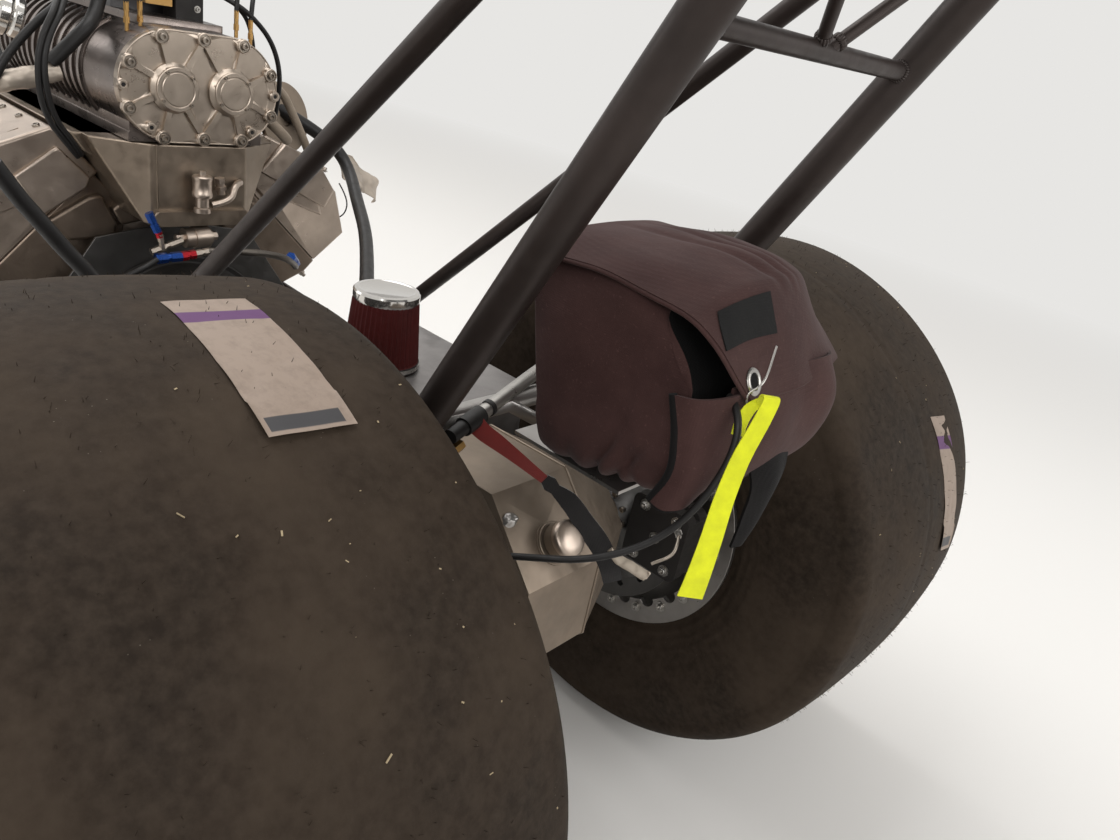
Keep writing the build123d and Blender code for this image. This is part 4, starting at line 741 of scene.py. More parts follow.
def arc3(a, b, c, count):
    """Points along the circle through three plane points, from the first to the last."""
    (ax, ay), (bx, by), (cx, cy) = a, b, c
    d = 2 * (ax * (by - cy) + bx * (cy - ay) + cx * (ay - by))
    ux = ((ax**2 + ay**2) * (by - cy) + (bx**2 + by**2) * (cy - ay) + (cx**2 + cy**2) * (ay - by)) / d
    uy = ((ax**2 + ay**2) * (cx - bx) + (bx**2 + by**2) * (ax - cx) + (cx**2 + cy**2) * (bx - ax)) / d
    r = math.hypot(ax - ux, ay - uy)
    t0, t1, t2 = (math.atan2(y - uy, x - ux) for x, y in (a, b, c))
    turn = (t2 - t0 + math.pi) % (2 * math.pi) - math.pi
    middle = (t1 - t0 + math.pi) % (2 * math.pi) - math.pi
    if turn * middle < 0:
        turn -= math.copysign(2 * math.pi, turn)
    t = t0 + turn * np.linspace(0, 1, count)
    return np.stack([ux + r * np.cos(t), uy + r * np.sin(t)], -1)


def across(profile, side, segments):
    """Turns a profile of (distance outboard, radius) about a slick's axis."""
    out, r = np.asarray(profile, float).T
    a = circle(segments)[:, None]
    y = np.broadcast_to(side * SLICK_Y + side * out, (segments, len(r)))
    return surface(
        np.stack([REAR_AXLE_X + np.cos(a) * r, y, SLICK_RADIUS + np.sin(a) * r], -1), close_rows=True,
    )


def round_places(radius, count, y, start):
    """Places evenly round the rear axle."""
    a = circle(count, start)
    return np.stack(
        [REAR_AXLE_X + radius * np.cos(a), np.full(count, y), SLICK_RADIUS + radius * np.sin(a)], -1,
    )


def turned_piece(name, profile, segments, places, direction, finish, smooth=40):
    """A piece of turned profiles, each with its base at a place and its axis along the direction."""
    return piece(name, set_at(turned(profile, segments), places, direction), finish, smooth=smooth)


# Fasteners about the Z axis, of about 10 mm head, as (radius, height)
CAP_SCREW = turned([(0, -2), (4.8, -2), (4.8, 5.2), (4.3, 6), (2.6, 6), (2.6, 2.8), (0, 2.8)], 20)
WASHER = turned([(2.8, 0), (7.5, 0), (7.5, 1.3), (2.8, 1.3), (2.8, 0)], 24)
HEX_HEAD = turned([(0, -2), (5.6, -2), (5.6, 4.2), (4.9, 5.2), (0, 5.2)], 6)


def screws(name, places, direction, finish, size=1.0, washer=True, body="chassis"):
    """Cap screws at several places that point along one direction, on washers if asked."""
    heads = (CAP_SCREW, WASHER) if washer else (CAP_SCREW,)
    return piece(name, joined([set_at(head, places, direction, size) for head in heads]), finish, body)


def bead(centre, axis, radius, size, ripples=26):
    """A weld's rippled ring round a tube."""
    a, b = circle(104)[:, None], circle(10)
    thick = size * (0.75 + 0.25 * np.abs(np.sin(a * ripples / 2)))
    r = radius + thick * np.cos(b) * 0.8
    ring = np.stack([r * np.cos(a), r * np.sin(a), thick * np.sin(b) * 1.5], -1)
    return surface(ring @ aimed(axis)[0].T + centre, close_rows=True, close_columns=True)


# Slicks
CROWN_HALF, CROWN_DROP, SHOULDER_RADIUS = 0.2, 0.013, 0.425
# Raised rings on the wall: radius, height, half width
WALL_RINGS = (
    (0.396, 0.0012, 0.0025), (0.384, 0.0009, 0.002), (0.262, 0.0016, 0.004), (0.247, 0.0016, 0.004),
    (0.232, 0.0022, 0.005),
)


def slick_outline():
    """A slick from bead to bead as (distance outboard, radius): low crown, tight shoulder, bulging wall."""
    crown = arc3((-CROWN_HALF, SHOULDER_RADIUS), (0, SLICK_RADIUS), (CROWN_HALF, SHOULDER_RADIUS), 61)
    shoulder = arc3((CROWN_HALF, SHOULDER_RADIUS), (0.2155, 0.4155), (0.2222, 0.388), 14)
    wall = arc3((0.2222, 0.388), (0.227, 0.320), (0.2, 0.222), 44)
    foot = np.array([(0.199, 0.216), (0.198, 0.2035)])
    wall[:, 0] += sum(height * hump(wall[:, 1] - radius, half) for radius, height, half in WALL_RINGS)
    # The mould's seam across the tread, beside its middle
    crown[:, 1] -= 0.0022 * hump(crown[:, 0] + 0.016, 0.0030)
    right = np.concatenate([shoulder[1:], wall[1:], foot])
    return np.concatenate([right[::-1] * (-1, 1), crown, right])


def on_tread(side, angle, out, lift=0.0):
    """Points on a slick's crown at an angle round the axle and a distance from its middle, with a lift."""
    r = SLICK_RADIUS - CROWN_DROP * (out / CROWN_HALF) ** 2 + lift
    return np.stack(
        [REAR_AXLE_X + r * np.cos(angle), side * SLICK_Y + out, SLICK_RADIUS + r * np.sin(angle)], -1,
    )


def slick(side, hand):
    """A slick with its vent hairs and the grit that stuck to it."""
    vertices, quads = across(slick_outline(), side, 180)
    dx, dz = vertices[:, 0] - REAR_AXLE_X, vertices[:, 2] - SLICK_RADIUS
    radius = np.hypot(dx, dz)
    uneven = 0.0009 * ripple(vertices, 22, 3 + side) * (radius > 0.38) * (radius < 0.439)
    vertices[:, 0] += dx / radius * uneven
    vertices[:, 2] += dz / radius * uneven
    tyre = piece(f"slick_{hand}", (vertices, quads), RUBBER, "rear_wheels", smooth=50)

    # Vent hairs in rows along the tread
    rng = np.random.default_rng(11 + side)
    count = 1500
    angle = rng.uniform(0, 2 * math.pi, count)
    out = np.round(rng.uniform(-0.2, 0.2, count) / 0.022) * 0.022 + rng.normal(0, 0.002, count)
    out = np.clip(out, -0.205, 0.205)
    lean = np.stack([np.cos(angle), np.zeros(count), np.sin(angle)], -1) + rng.normal(0, 0.35, (count, 3))
    sizes = np.stack([np.ones(count), np.ones(count), rng.uniform(0.002, 0.0065, count)], -1)
    # A hair is made 1 m high and then scaled to its length
    hair = turned([(0, -2), (0.35, -2), (0.3, 550), (0.15, 1000), (0, 1000)], 3)
    hairs = strewn(hair, aimed(lean), sizes, on_tread(side, angle, out))
    piece(f"slick_{hand}_vent_hairs", hairs, RUBBER, "rear_wheels", smooth=0)

    # Straw, grit and wood chips that stuck to the tread, the longer ones bent
    count = 150
    angle = rng.uniform(0, 2 * math.pi, count)
    out = rng.uniform(-0.2, 0.2, count)
    a = rng.uniform(0, math.pi, count)
    radial = np.stack([np.cos(angle), np.zeros(count), np.sin(angle)], -1)
    lengthwise = np.stack([-np.sin(angle) * np.cos(a), np.sin(a), np.cos(angle) * np.cos(a)], -1)
    turns = np.stack([lengthwise, np.cross(radial, lengthwise), radial], -1)
    sizes = np.stack([
        rng.gamma(2.0, 0.0006, count) + 0.0004, rng.uniform(0.0003, 0.0008, count),
        rng.uniform(0.0002, 0.0005, count),
    ], -1)
    chips = strewn(
        block((-1, -1, -0.6), (1, 1, 1)), turns, sizes, on_tread(side, angle, out), bend=0.25 / 0.004,
    )
    piece(f"slick_{hand}_stuck_chips", chips, STRAW, "rear_wheels", smooth=0)
    return tyre


def label_on_tread(name, side, corners):
    """A paper label on a slick's crown, which lifts along its creases and at its far edge.

    Its corners are (angle in degrees, distance from the middle): near left, near right, far left, far right.
    """
    angles, outs = np.transpose(corners)
    u, v = fractions(60, 26)
    angle, out = np.radians(between(u, v, *angles)), between(u, v, *outs)
    edge = np.minimum(np.minimum(u, 1 - u) * 2.4, np.minimum(v, 1 - v))
    creased = 0.0007 * np.abs(ripple(np.stack([u * 9, v * 4, u * 0], -1), 1.6, 5))
    curled = 0.0014 * np.clip(0.05 - edge, 0, 1) * 20 * (u > 0.8)
    points = on_tread(side, angle, side * out, 0.0008 + creased + curled)
    piece(name, slab(points, 0.0003), LABEL, "rear_wheels", uv=slab_uv(np.stack([v, u], -1)), smooth=60)


# Finishes of these pieces


def label_paper():
    """White paper with a purple band near its top, a dark bar at its foot, grime and thin creases."""
    made = Finish("label_paper", (0.5, 0.45, 0.4), roughness=0.6)
    uv = made.node("ShaderNodeSeparateXYZ")
    made.link(made.place.outputs["UV"], uv.inputs[0])
    down = uv.outputs["Y"]
    band = made.steps(down, [(0.0, 0.0), (0.14, 0.0), (0.142, 1.0), (0.235, 1.0), (0.237, 0.0)])
    foot = made.steps(down, [(0.0, 0.0), (0.9, 0.0), (0.902, 1.0), (0.975, 1.0), (0.977, 0.0)])
    side = made.steps(uv.outputs["X"], [(0.0, 0.0), (0.06, 0.0), (0.062, 1.0), (0.9, 1.0), (0.902, 0.0)])
    paper = made.mixed(
        made.steps(made.noise(70, 6, 0.7), [(0.46, 0.0), (0.74, 1.0)]), (0.27, 0.207, 0.163),
        (0.205, 0.155, 0.12),
    )
    paper = made.mixed(band, paper, (0.085, 0.022, 0.1))
    made.colour(made.mixed(made.mixed(1.0, foot, side, "MULTIPLY"), paper, (0.035, 0.033, 0.035)))
    made.bump(made.noise(240, 4, 0.6), 0.25, 0.0004)
    return made.material


def woven(name, colour, light, scale=900, sheen=0.4, fuzz=0.35):
    """Plain-woven cloth: crossed threads, faded and dusty in soft blotches."""
    made = Finish(
        name, colour, roughness=0.85, Sheen_Weight=sheen, Sheen_Roughness=0.45, Specular_IOR_Level=0.15,
    )
    blotch = made.steps(made.noise(11, 6, 0.62), [(0.34, 0.0), (0.72, 1.0)])
    base = made.mixed(blotch, colour, light)
    lint = made.steps(made.noise(300, 3, 0.7), [(0.6, 0.0), (0.8, fuzz)])
    made.colour(made.mixed(lint, base, tuple(min(1, 2.6 * c + 0.02) for c in light)))
    threads = made.product(made.wave(scale / 6, "X"), made.wave(scale / 6, "Z"))
    made.bump(threads, 0.4, 0.0004)
    made.bump(made.noise(45, 6, 0.65), 0.35, 0.0022)
    return made.material


def webbing(name, colour):
    """Flat webbing: ribs along the band, from the piece's own UV."""
    made = Finish(name, colour, roughness=0.7, Sheen_Weight=0.08)
    ribs = made.wave(9, "X", made.coordinates(source="UV"))
    made.bump(ribs, 0.5, 0.0005)
    tone = made.steps(made.noise(60, 5, 0.6), [(0.35, 0.0), (0.7, 1.0)])
    made.colour(made.mixed(tone, tuple(c * 0.82 for c in colour), colour))
    return made.material


STRAW = paint("straw_grit", (0.34, 0.27, 0.17), roughness=0.9)
LABEL = label_paper()
PACK = woven("pack_canvas", (0.036, 0.0165, 0.0152), (0.060, 0.0300, 0.0270), sheen=0.05)
# Near-black cloth for the bag's lining, the side flap's binding, the apron and the grommet's hole: partly
# their own dark colour, partly painted shade for the dark inside of the bag and the gaps at its mouth
PACK_LINING_PAINTED_SHADE = woven("pack_lining_painted_shade", (0.004, 0.0035, 0.0035), (0.007, 0.006, 0.006), sheen=0.02, fuzz=0.1)
NEON = webbing("streamer_webbing", (0.9, 0.95, 0.006))
RED_WEB = webbing("red_webbing", (0.17, 0.007, 0.004))
BLACK_SLEEVE = woven("black_sleeve", (0.012, 0.011, 0.011), (0.022, 0.02, 0.02), fuzz=0.2)
BRASS = alloy("brass", (0.47, 0.28, 0.1), 0.32, grain_depth=0.00006)
BRIGHT = alloy("bright_steel", (0.46, 0.44, 0.41), 0.3, grain_depth=0.00001)
DARK_SCREW = alloy("bronzed_screw", (0.36, 0.31, 0.26), 0.34, grain_depth=0.00006)
HOSE = paint("black_hose", (0.011, 0.010, 0.0098), roughness=0.45, dust=0.06)
BLUE_ANODISED = paint("blue_fitting", (0.012, 0.05, 0.22), roughness=0.28, metallic=0.7)
RED_ANODISED = paint("red_fitting", (0.36, 0.012, 0.02), roughness=0.28, metallic=0.7)
PATCH_CLOTH = woven("patch_cloth", (0.006, 0.006, 0.006), (0.011, 0.0105, 0.010), sheen=0.03, fuzz=0.15)
WRAP = alloy("foil_sleeve", (0.5, 0.43, 0.36), 0.45, grain=180, grain_depth=0.0008, metallic=0.6)
DARK_BRAID = alloy("steel_braid", (0.13, 0.115, 0.10), 0.4, grain=1400, grain_depth=0.0006)
BRAID = woven("braided_sleeve", (0.2, 0.16, 0.12), (0.34, 0.28, 0.22), scale=1800, sheen=0.1, fuzz=0.2)
TAG = paint("cream_tag", (0.42, 0.36, 0.29), roughness=0.6)
CHROME = alloy("chrome", (0.62, 0.6, 0.57), 0.12, dull=0.05, grain_depth=0.000004)


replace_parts(slick(LEFT, "left"), "rear_slicks")
slick(RIGHT, "right")
label_on_tread("label_left_slick", LEFT, ((90.1, -0.059), (90.2, -0.133), (114.6, -0.0515), (115.0, -0.127)))
label_on_tread("label_right_slick", RIGHT, ((143.0, 0.038), (144.3, 0.1), (172.5, 0.06), (175.5, 0.135)))


# Parachute pack: grids of points, from the ground below the rear axle
PACK_FLAP = (
    ((-112, 152, 935), (-112, 90, 952), (-112, 0, 958), (-112, -80, 950), (-112, -155, 922)),
    ((-200, 153, 943), (-200, 90, 958), (-200, 0, 965), (-195, -80, 957), (-175, -157, 930)),
    ((-288, 151, 938), (-290, 90, 953), (-288, 0, 960), (-270, -80, 952), (-235, -158, 930)),
    ((-335, 149, 920), (-332, 90, 925), (-330, 0, 922), (-312, -80, 915), (-280, -158, 896)),
    ((-364, 108, 868), (-361, 70, 868), (-358, 0, 866), (-347, -70, 866), (-325, -155, 857)),
)
PACK_SIDE_FLAP = (
    ((-318, 166, 871), (-340, 158, 874), (-354, 130, 877), (-352, 90, 877)),
    ((-331, 167, 835), (-348, 155, 836), (-357, 118, 840), (-356, 85, 842)),
    ((-334, 165, 800), (-350, 155, 800), (-358, 128, 804), (-354, 100, 806)),
    ((-322, 166, 766), (-338, 166, 764), (-348, 152, 768), (-344, 120, 772)),
)
PACK_MOUTH = (
    ((-345, 120, 880), (-349, 60, 884), (-348, 0, 884), (-342, -80, 878), (-318, -141, 868)),
    ((-347, 118, 838), (-364, 60, 842), (-366, 0, 842), (-360, -80, 838), (-320, -150, 836)),
    ((-343, 122, 795), (-358, 60, 792), (-362, 0, 790), (-352, -80, 790), (-314, -142, 792)),
    ((-325, 125, 762), (-333, 60, 758), (-335, 0, 756), (-328, -80, 756), (-298, -132, 762)),
)
PACK_APRON = (
    ((-350, 60, 800), (-362, 20, 800), (-358, -15, 800)),
    ((-362, 52, 765), (-370, 20, 765), (-364, -8, 768)),
    ((-360, 48, 725), (-366, 24, 725), (-362, 4, 728)),
    ((-356, 44, 690), (-360, 32, 690), (-358, 22, 692)),
)
# Sections of the bag: x, half width, floor, top
PACK_SECTIONS = (
    (-119, 112, 776, 912), (-121, 144, 739, 938), (-134, 151, 733, 945),
    (-200, 155.5, 735, 948), (-260, 158, 741, 949), (-300, 157.5, 749, 945),
    (-322, 156.5, 757, 940), (-329, 155.5, 760, 938), (-331, 153.5, 763, 936), (-328, 151.5, 766, 934),
    (-318, 150.5, 767, 933),
)
LINING_SECTIONS = (
    (-328.5, 152.2, 765, 934.5), (-310, 150, 767, 932), (-260, 147, 760, 932), (-200, 144, 756, 930),
    (-150, 138, 756, 926), (-140, 110, 780, 900), (-139, 20, 830, 850),
)

# Folds of the bag's left and right walls near the foot: place, lean, depth, half width and the
# height where they fade
BAG_FOLDS = (
    (0.238, 0.45, 0.010, 0.0065, 0.84), (0.262, 0.62, 0.008, 0.006, 0.83), (0.285, -0.15, 0.006, 0.008, 0.82),
    (0.205, 0.25, 0.005, 0.010, 0.80),
)
BAG_CREASES = (0.832, 0.845)
BAG_MIDDLE = (-0.23, 0, 0.84)
BAG_POWER = 0.285


def bag(sections):
    """The bag with its folds: rings |y/w|^7 + |z/h|^7 = 1 along sections of (x, half width, floor, top)."""
    x, half, low, high = through(mm(sections), 110).T[..., None]
    a = 2 * math.pi * (np.arange(240) + 0.5) / 240
    y = half * np.sign(np.cos(a)) * np.abs(np.cos(a)) ** BAG_POWER
    z = (low + high) / 2 + (high - low) / 2 * np.sign(np.sin(a)) * np.abs(np.sin(a)) ** BAG_POWER
    # Its rear end draws in at the top, the foot and the right; the foot of its front leans back
    back = ramp(-x, 0.22, 0.1)
    x = x + back * (0.066 * ramp(z, 0.866, 0.072) ** 1.35 + 0.014 * ramp(-z, -0.79, 0.03))
    x = x + back * 0.07 * ramp(-y, 0.09, 0.05) * ramp(z, 0.79, 0.07)
    x = x - 0.045 * ramp(-z, -0.93, 0.2) * ramp(x, -0.26, 0.14)
    points = np.stack([x, y, z], -1)
    soft = 0.0035 * ripple(points * (1, 1, 0.45), 26, 8) + 0.0012 * ripple(points * (0.6, 0.6, 1.6), 75, 9)
    for at, lean, deep, half_wide, fade in BAG_FOLDS:
        soft = soft - deep * hump(
            x + at + lean * (z - 0.75), half_wide,
        ) * ramp(-z, -fade, 0.07) * (np.abs(y) > 0.11)
    for level in BAG_CREASES:
        soft = soft - 0.0018 * hump(z - level + 0.02 * (x + 0.2), 0.0016) * (np.abs(y) > 0.12)
    facing = normals(points)
    outward = np.sign((facing * (points - BAG_MIDDLE)).sum(-1, keepdims=True)) * facing
    return surface(car(capped(points + outward * soft[..., None])), close_columns=True)


def cloth_grid(control, rows, columns, folds, scale, seed):
    """A fine grid through control points, with soft folds across it."""
    fine = through(through(mm(control), rows), columns, 1)
    return fine + normals(fine) * (folds * ripple(fine, scale, seed))[..., None]


def hem(grid, side, width=0.0065, height=0.0022):
    """A rolled edge along a side of a cloth grid: 0 or -1 of its columns, or "foot" for its last row."""
    edge = grid[-1] if side == "foot" else grid[:, side]
    return pipe(edge, width / 2, 10, flatten=height / width * 2)


bag_piece = piece("pack_bag", bag(PACK_SECTIONS), PACK, smooth=70)
# The lining's near-black colour is painted shade for the inside of the bag, seen through its mouth
piece("pack_lining_painted_shade", bag(LINING_SECTIONS), PACK_LINING_PAINTED_SHADE, smooth=70)
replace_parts(bag_piece, "parachute_pack")

flap = cloth_grid(PACK_FLAP, 120, 110, 0.0012, 55, 4)
rows, columns = np.linspace(0, 1, 120)[:, None], np.linspace(0, 1, 110)[None, :]
# Folds that run back along the top and fade past the bend: place, drift, depth, half width
for at, drift, depth, wide in (
    (0.42, 0.10, 0.004, 0.022), (0.55, 0.02, 0.0045, 0.02), (0.66, -0.05, 0.003, 0.016),
    (0.80, -0.06, 0.0035, 0.022),
):
    fading = np.clip(rows * 3, 0, 1) * np.clip((0.66 - rows) * 6, 0, 1)
    flap[..., 2] -= depth * hump(columns - at - drift * rows, wide) * fading
flap[..., 2] += 0.004 * hump(rows - 0.58, 0.05) * np.sin(columns * math.pi)
flap = car(flap)
flap_piece = piece("pack_top_flap", slab(flap, 0.0032), PACK, smooth=60)
flap_hem = piece(
    "pack_top_flap_hem", joined([hem(flap, 0), hem(flap, -1), hem(flap, "foot")]), PACK, smooth=70,
)
side_flap = car(cloth_grid(PACK_SIDE_FLAP, 60, 50, 0.0008, 60, 6))
side_piece = piece("pack_side_flap", slab(side_flap, 0.003), PACK, smooth=60)
# The side flap's binding is near-black: a dark binding, with painted shade of the gap beside it
side_hem = piece(
    "pack_side_flap_binding", joined([hem(side_flap, 0, 0.008, 0.004), hem(side_flap, "foot", 0.006, 0.003)]),
    PACK_LINING_PAINTED_SHADE, smooth=70,
)
mouth = car(cloth_grid(PACK_MOUTH, 80, 90, 0.0022, 45, 7))
piece("pack_mouth", slab(mouth, 0.003), PACK, smooth=60)
# The apron below the mouth takes the near-black cloth, whose darkness is partly painted shade
apron = car(cloth_grid(PACK_APRON, 50, 30, 0.0015, 60, 8))
piece("pack_apron", slab(apron, 0.003), PACK_LINING_PAINTED_SHADE, smooth=60)

u, v = fractions(14, 14)
spot, facing = on_grid(
    flap, between(u, v, 0.625, 0.613, 0.787, 0.787), between(u, v, 0.117, 0.400, 0.017, 0.367),
)
piece("pack_patch", slab(spot + facing * 0.0034, 0.0012), PATCH_CLOTH, smooth=60)

spot, facing = on_grid(flap, np.array([0.925]), np.array([0.117]))
RING = (
    (7.8, 0), (12.5, 0), (13, 1.2), (12, 2.6), (9.8, 3), (8.2, 2.2), (7.8, 0),
)
EYE = ((0, 0.5), (7.9, 0.5), (7.9, 1.2), (0, 1.2))
turned_piece("pack_grommet", RING, 40, spot + facing * 0.003, facing[0], BRIGHT, 50)
# A near-black disc in the grommet's hole is painted shade, as the flap under it is not cut through
turned_piece("pack_grommet_hole_shade", EYE, 24, spot + facing * 0.003, facing[0], PACK_LINING_PAINTED_SHADE)
eye = spot[0] + facing[0] * 0.004
pin_top, pin_face = on_grid(flap, np.array([0.83]), np.array([0.31]))
pin = np.array([
    pin_top[0] + pin_face[0] * 0.012, eye + facing[0] * 0.010, eye + (-0.004, 0.012, -0.008),
    eye + (-0.006, 0.012, -0.022),
])
piece("pack_pin", pipe(through(pin, 24), 0.0011, 8), BRIGHT, smooth=60)


def band(centre, wide, width, thickness):
    """A flat band on a centre line, turned to a direction across it, and its UV: across, along."""
    wide = unit(np.broadcast_to(wide, centre.shape))[:, None, :]
    t = np.linspace(-0.5, 0.5, 9)[None, :, None]
    grid = centre[:, None, :] + wide * t * np.broadcast_to(width, (len(centre),))[:, None, None]
    u, v = fractions(len(centre), 9)
    return slab(grid, thickness), slab_uv(np.stack([v, u], -1))


streamer_line = through(car_mm([
    (-372, 108, 868), (-378, 112, 884), (-386, 119, 885), (-386, 126, 866), (-382, 135, 830),
    (-380, 139, 790), (-381, 143, 745), (-380, 144, 710), (-378, 144, 681),
]), 90)
widths = along(90, (0, 0.0125), (0.3, 0.015), (0.6, 0.0185), (1, 0.0245))
shape, uv = band(streamer_line, (0.70, 0.71, 0.02), widths, 0.0016)
streamer = piece("streamer", shape, NEON, uv=uv, smooth=60)
tail_line = through(car_mm([(-374, 104, 878), (-370, 118, 872), (-368, 125, 858), (-369, 128, 845)]), 30)
shape, uv = band(tail_line, (0.72, 0.69, 0.1), np.linspace(0.0125, 0.0115, 30), 0.0016)
tail = piece("streamer_tail", shape, NEON, uv=uv, smooth=60)


# Straps and cables behind the axle

strap_line = through(car_mm([
    (-60, 142, 724), (-72, 134, 712), (-86, 116, 697), (-102, 94, 678), (-118, 64, 652), (-124, 50, 641),
]), 60)
# The strap and the sleeve are turned flat to this direction
FLAT_TO = unit((0.556, -0.719, -0.416))
widths = along(60, (0, 0.022), (0.35, 0.019), (0.8, 0.011), (1, 0.0075))
shape, uv = band(strap_line, np.cross(np.gradient(strap_line, axis=0), FLAT_TO), widths, 0.0018)
piece("red_strap", shape, RED_WEB, uv=uv, smooth=60)
sleeve_line = through(car_mm([
    (-116, 62, 652), (-128, 52, 640), (-146, 40, 626), (-165, 28, 603), (-184, 14, 578),
    (-197, 4, 552), (-202, -4, 530),
]), 70)
widths = along(70, (0, 0.012), (0.08, 0.019), (0.16, 0.014), (0.3, 0.023), (0.6, 0.027), (1, 0.024))
shape, uv = band(sleeve_line, np.cross(np.gradient(sleeve_line, axis=0), FLAT_TO), widths, 0.005)
piece("black_sleeve", shape, BLACK_SLEEVE, smooth=60)
tag_line = through(car_mm([(-205, 22, 585), (-215, 18, 578), (-232, 10, 573), (-252, 0, 566)]), 24)
tag = pipe_grid(tag_line, along(24, (0, 0.007), (0.2, 0.005), (0.35, 0.0085), (1, 0.009)), 16, flatten=0.6)
tag += 0.0014 * ripple(tag, 420, 3)[..., None]
piece("white_rolled_tag", surface(capped(tag), close_columns=True), TAG, smooth=50)

# The release cable's route, from the left strut to the rear of the pack
RELEASE_CABLE = car_mm([
    (13.2, 219, 622), (-12, 236, 628), (-60, 254, 640), (-115, 263, 651), (-168, 262, 660),
    (-207, 250, 668), (-246, 226, 679), (-285, 203, 690), (-318, 182, 710), (-345, 158, 738),
    (-366, 146, 785), (-375, 136, 835), (-364, 128, 868), (-346.7, 119, 872),
])
cable_line = curve_points(RELEASE_CABLE, 14)
cable = piece("release_cable_housing", pipe(cable_line, 0.0035, 14), HOSE, smooth=60)
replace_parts(cable, "release_cable")

# Tension rod between the struts, its clamps and the small fittings beside it
rod = car_mm([(-58, 130, 724), (-46, 75, 735), (-34, 20, 746), (-22, -40, 757)])
piece("silver_rod", pipe(through(rod, 20), 0.0085, 24), BRIGHT, smooth=60)
rod_axis = unit(rod[1] - rod[0])
piece("silver_rod_clamp", joined([
    pipe(line(rod[0] + rod_axis * start, rod[0] + rod_axis * end), radius, 24)
    for start, end, radius in ((-0.052, -0.024, 0.0088), (-0.028, 0.004, 0.0115), (0.018, 0.024, 0.0100))
]), HOSE, smooth=40)
bolt_foot = rod[0] + rod_axis * 0.021 + (0.0, 0.004, -0.010)
bolt_end = bolt_foot + (-0.004, 0.012, -0.016)
piece("clamp_bolt", joined([
    pipe(line(bolt_foot, bolt_end), 0.0028, 12), set_at(HEX_HEAD, bolt_end, (-0.2, 0.6, -0.8)),
]), BRIGHT, smooth=40)
brass_foot = car((-0.068, 0.160, 0.700))
brass_neck, brass_end = brass_foot + (-0.004, 0.022, -0.006), brass_foot + (-0.006, 0.034, -0.010)
piece("brass_fitting", joined([
    pipe(line(brass_foot, brass_neck), 0.0065, 6), pipe(line(brass_neck, brass_end), 0.0045, 16),
]), BRASS, smooth=30)

# Filler cap of the axle casing and the weld beside it
CAP_AXIS = unit((-0.738, 0.0, 0.674))
CAP_BASE = car((-0.141, 0.051, 0.569))
turned_piece("filler_cap", (
    (0, 23.5), (21, 23.5), (23.6, 24.2), (23.6, 30), (22.5, 32.5), (19, 34.8), (12, 36.5), (0, 37),
), 56, CAP_BASE, CAP_AXIS, COVER_ALLOY, 35)
turned_piece("filler_flange", (
    (19.5, 2.8), (26.5, 2.8), (26.5, 5), (25.5, 5.8), (19.5, 5.8), (19.5, 2.8),
), 56, CAP_BASE, CAP_AXIS, AXLE_PAINT, 35)
a = circle(32)
grow = np.linspace(0, 1, 9)[:, None]
blob = car((-0.111, 0.104, 0.604)) + CAP_AXIS * (0.006 * (1 - grow**2))[..., None]
blob = blob + np.array((0, 1, 0)) * (0.012 * grow * np.sin(a))[..., None]
blob = blob + np.cross(CAP_AXIS, (0, 1, 0)) * (0.009 * grow * np.cos(a))[..., None]
blob += 0.0014 * ripple(blob, 700, 2)[..., None] * CAP_AXIS
piece("weld_blob", surface(blob, close_columns=True), STEEL, smooth=60)


def prism(outline, near, far, axis=0):
    """A closed solid: an outline of plane points carried along an axis from near to far."""
    rings = np.stack([np.insert(np.asarray(outline, float), axis, at, axis=1) for at in (near, far)])
    return surface(capped(rings), close_columns=True)


def seam(name, points, finish, size):
    """A weld's low rippled bead along a line."""
    points = np.asarray(points, float)
    run = np.linalg.norm(np.diff(points, axis=0), axis=1).sum()
    count = max(12, int(run / 0.0016))
    path = through(points, count) if len(points) > 2 else line(points[0], points[1], count)
    radius = size * (0.8 + 0.2 * np.abs(np.sin(np.arange(count) * 1.3)))
    return piece(name, pipe(path, radius, 10), finish, smooth=60)


# Wing struts, the bars between them and the braces to the lower rails
STRUT_FOOT, STRUT_TOP = np.array((0.080, 0.194, 0.500)), np.array((-0.522, 0.205, 1.600))
STRUT_R, BRACE_R, THIN_BRACE_R, BAR_R = 0.0205, 0.0127, 0.00635, 0.0095
# Heights on the struts of the bar, of the thin braces' ends and of the long braces' ends
BAR_Z, THIN_BRACE_Z, BRACE_Z = 1.158, 1.370, 1.545


def on_strut(z, side):
    """Point on a strut's centreline at a height."""
    t = (z - STRUT_FOOT[2]) / (STRUT_TOP[2] - STRUT_FOOT[2])
    return car((STRUT_FOOT + (STRUT_TOP - STRUT_FOOT) * t) * (1, side, 1))


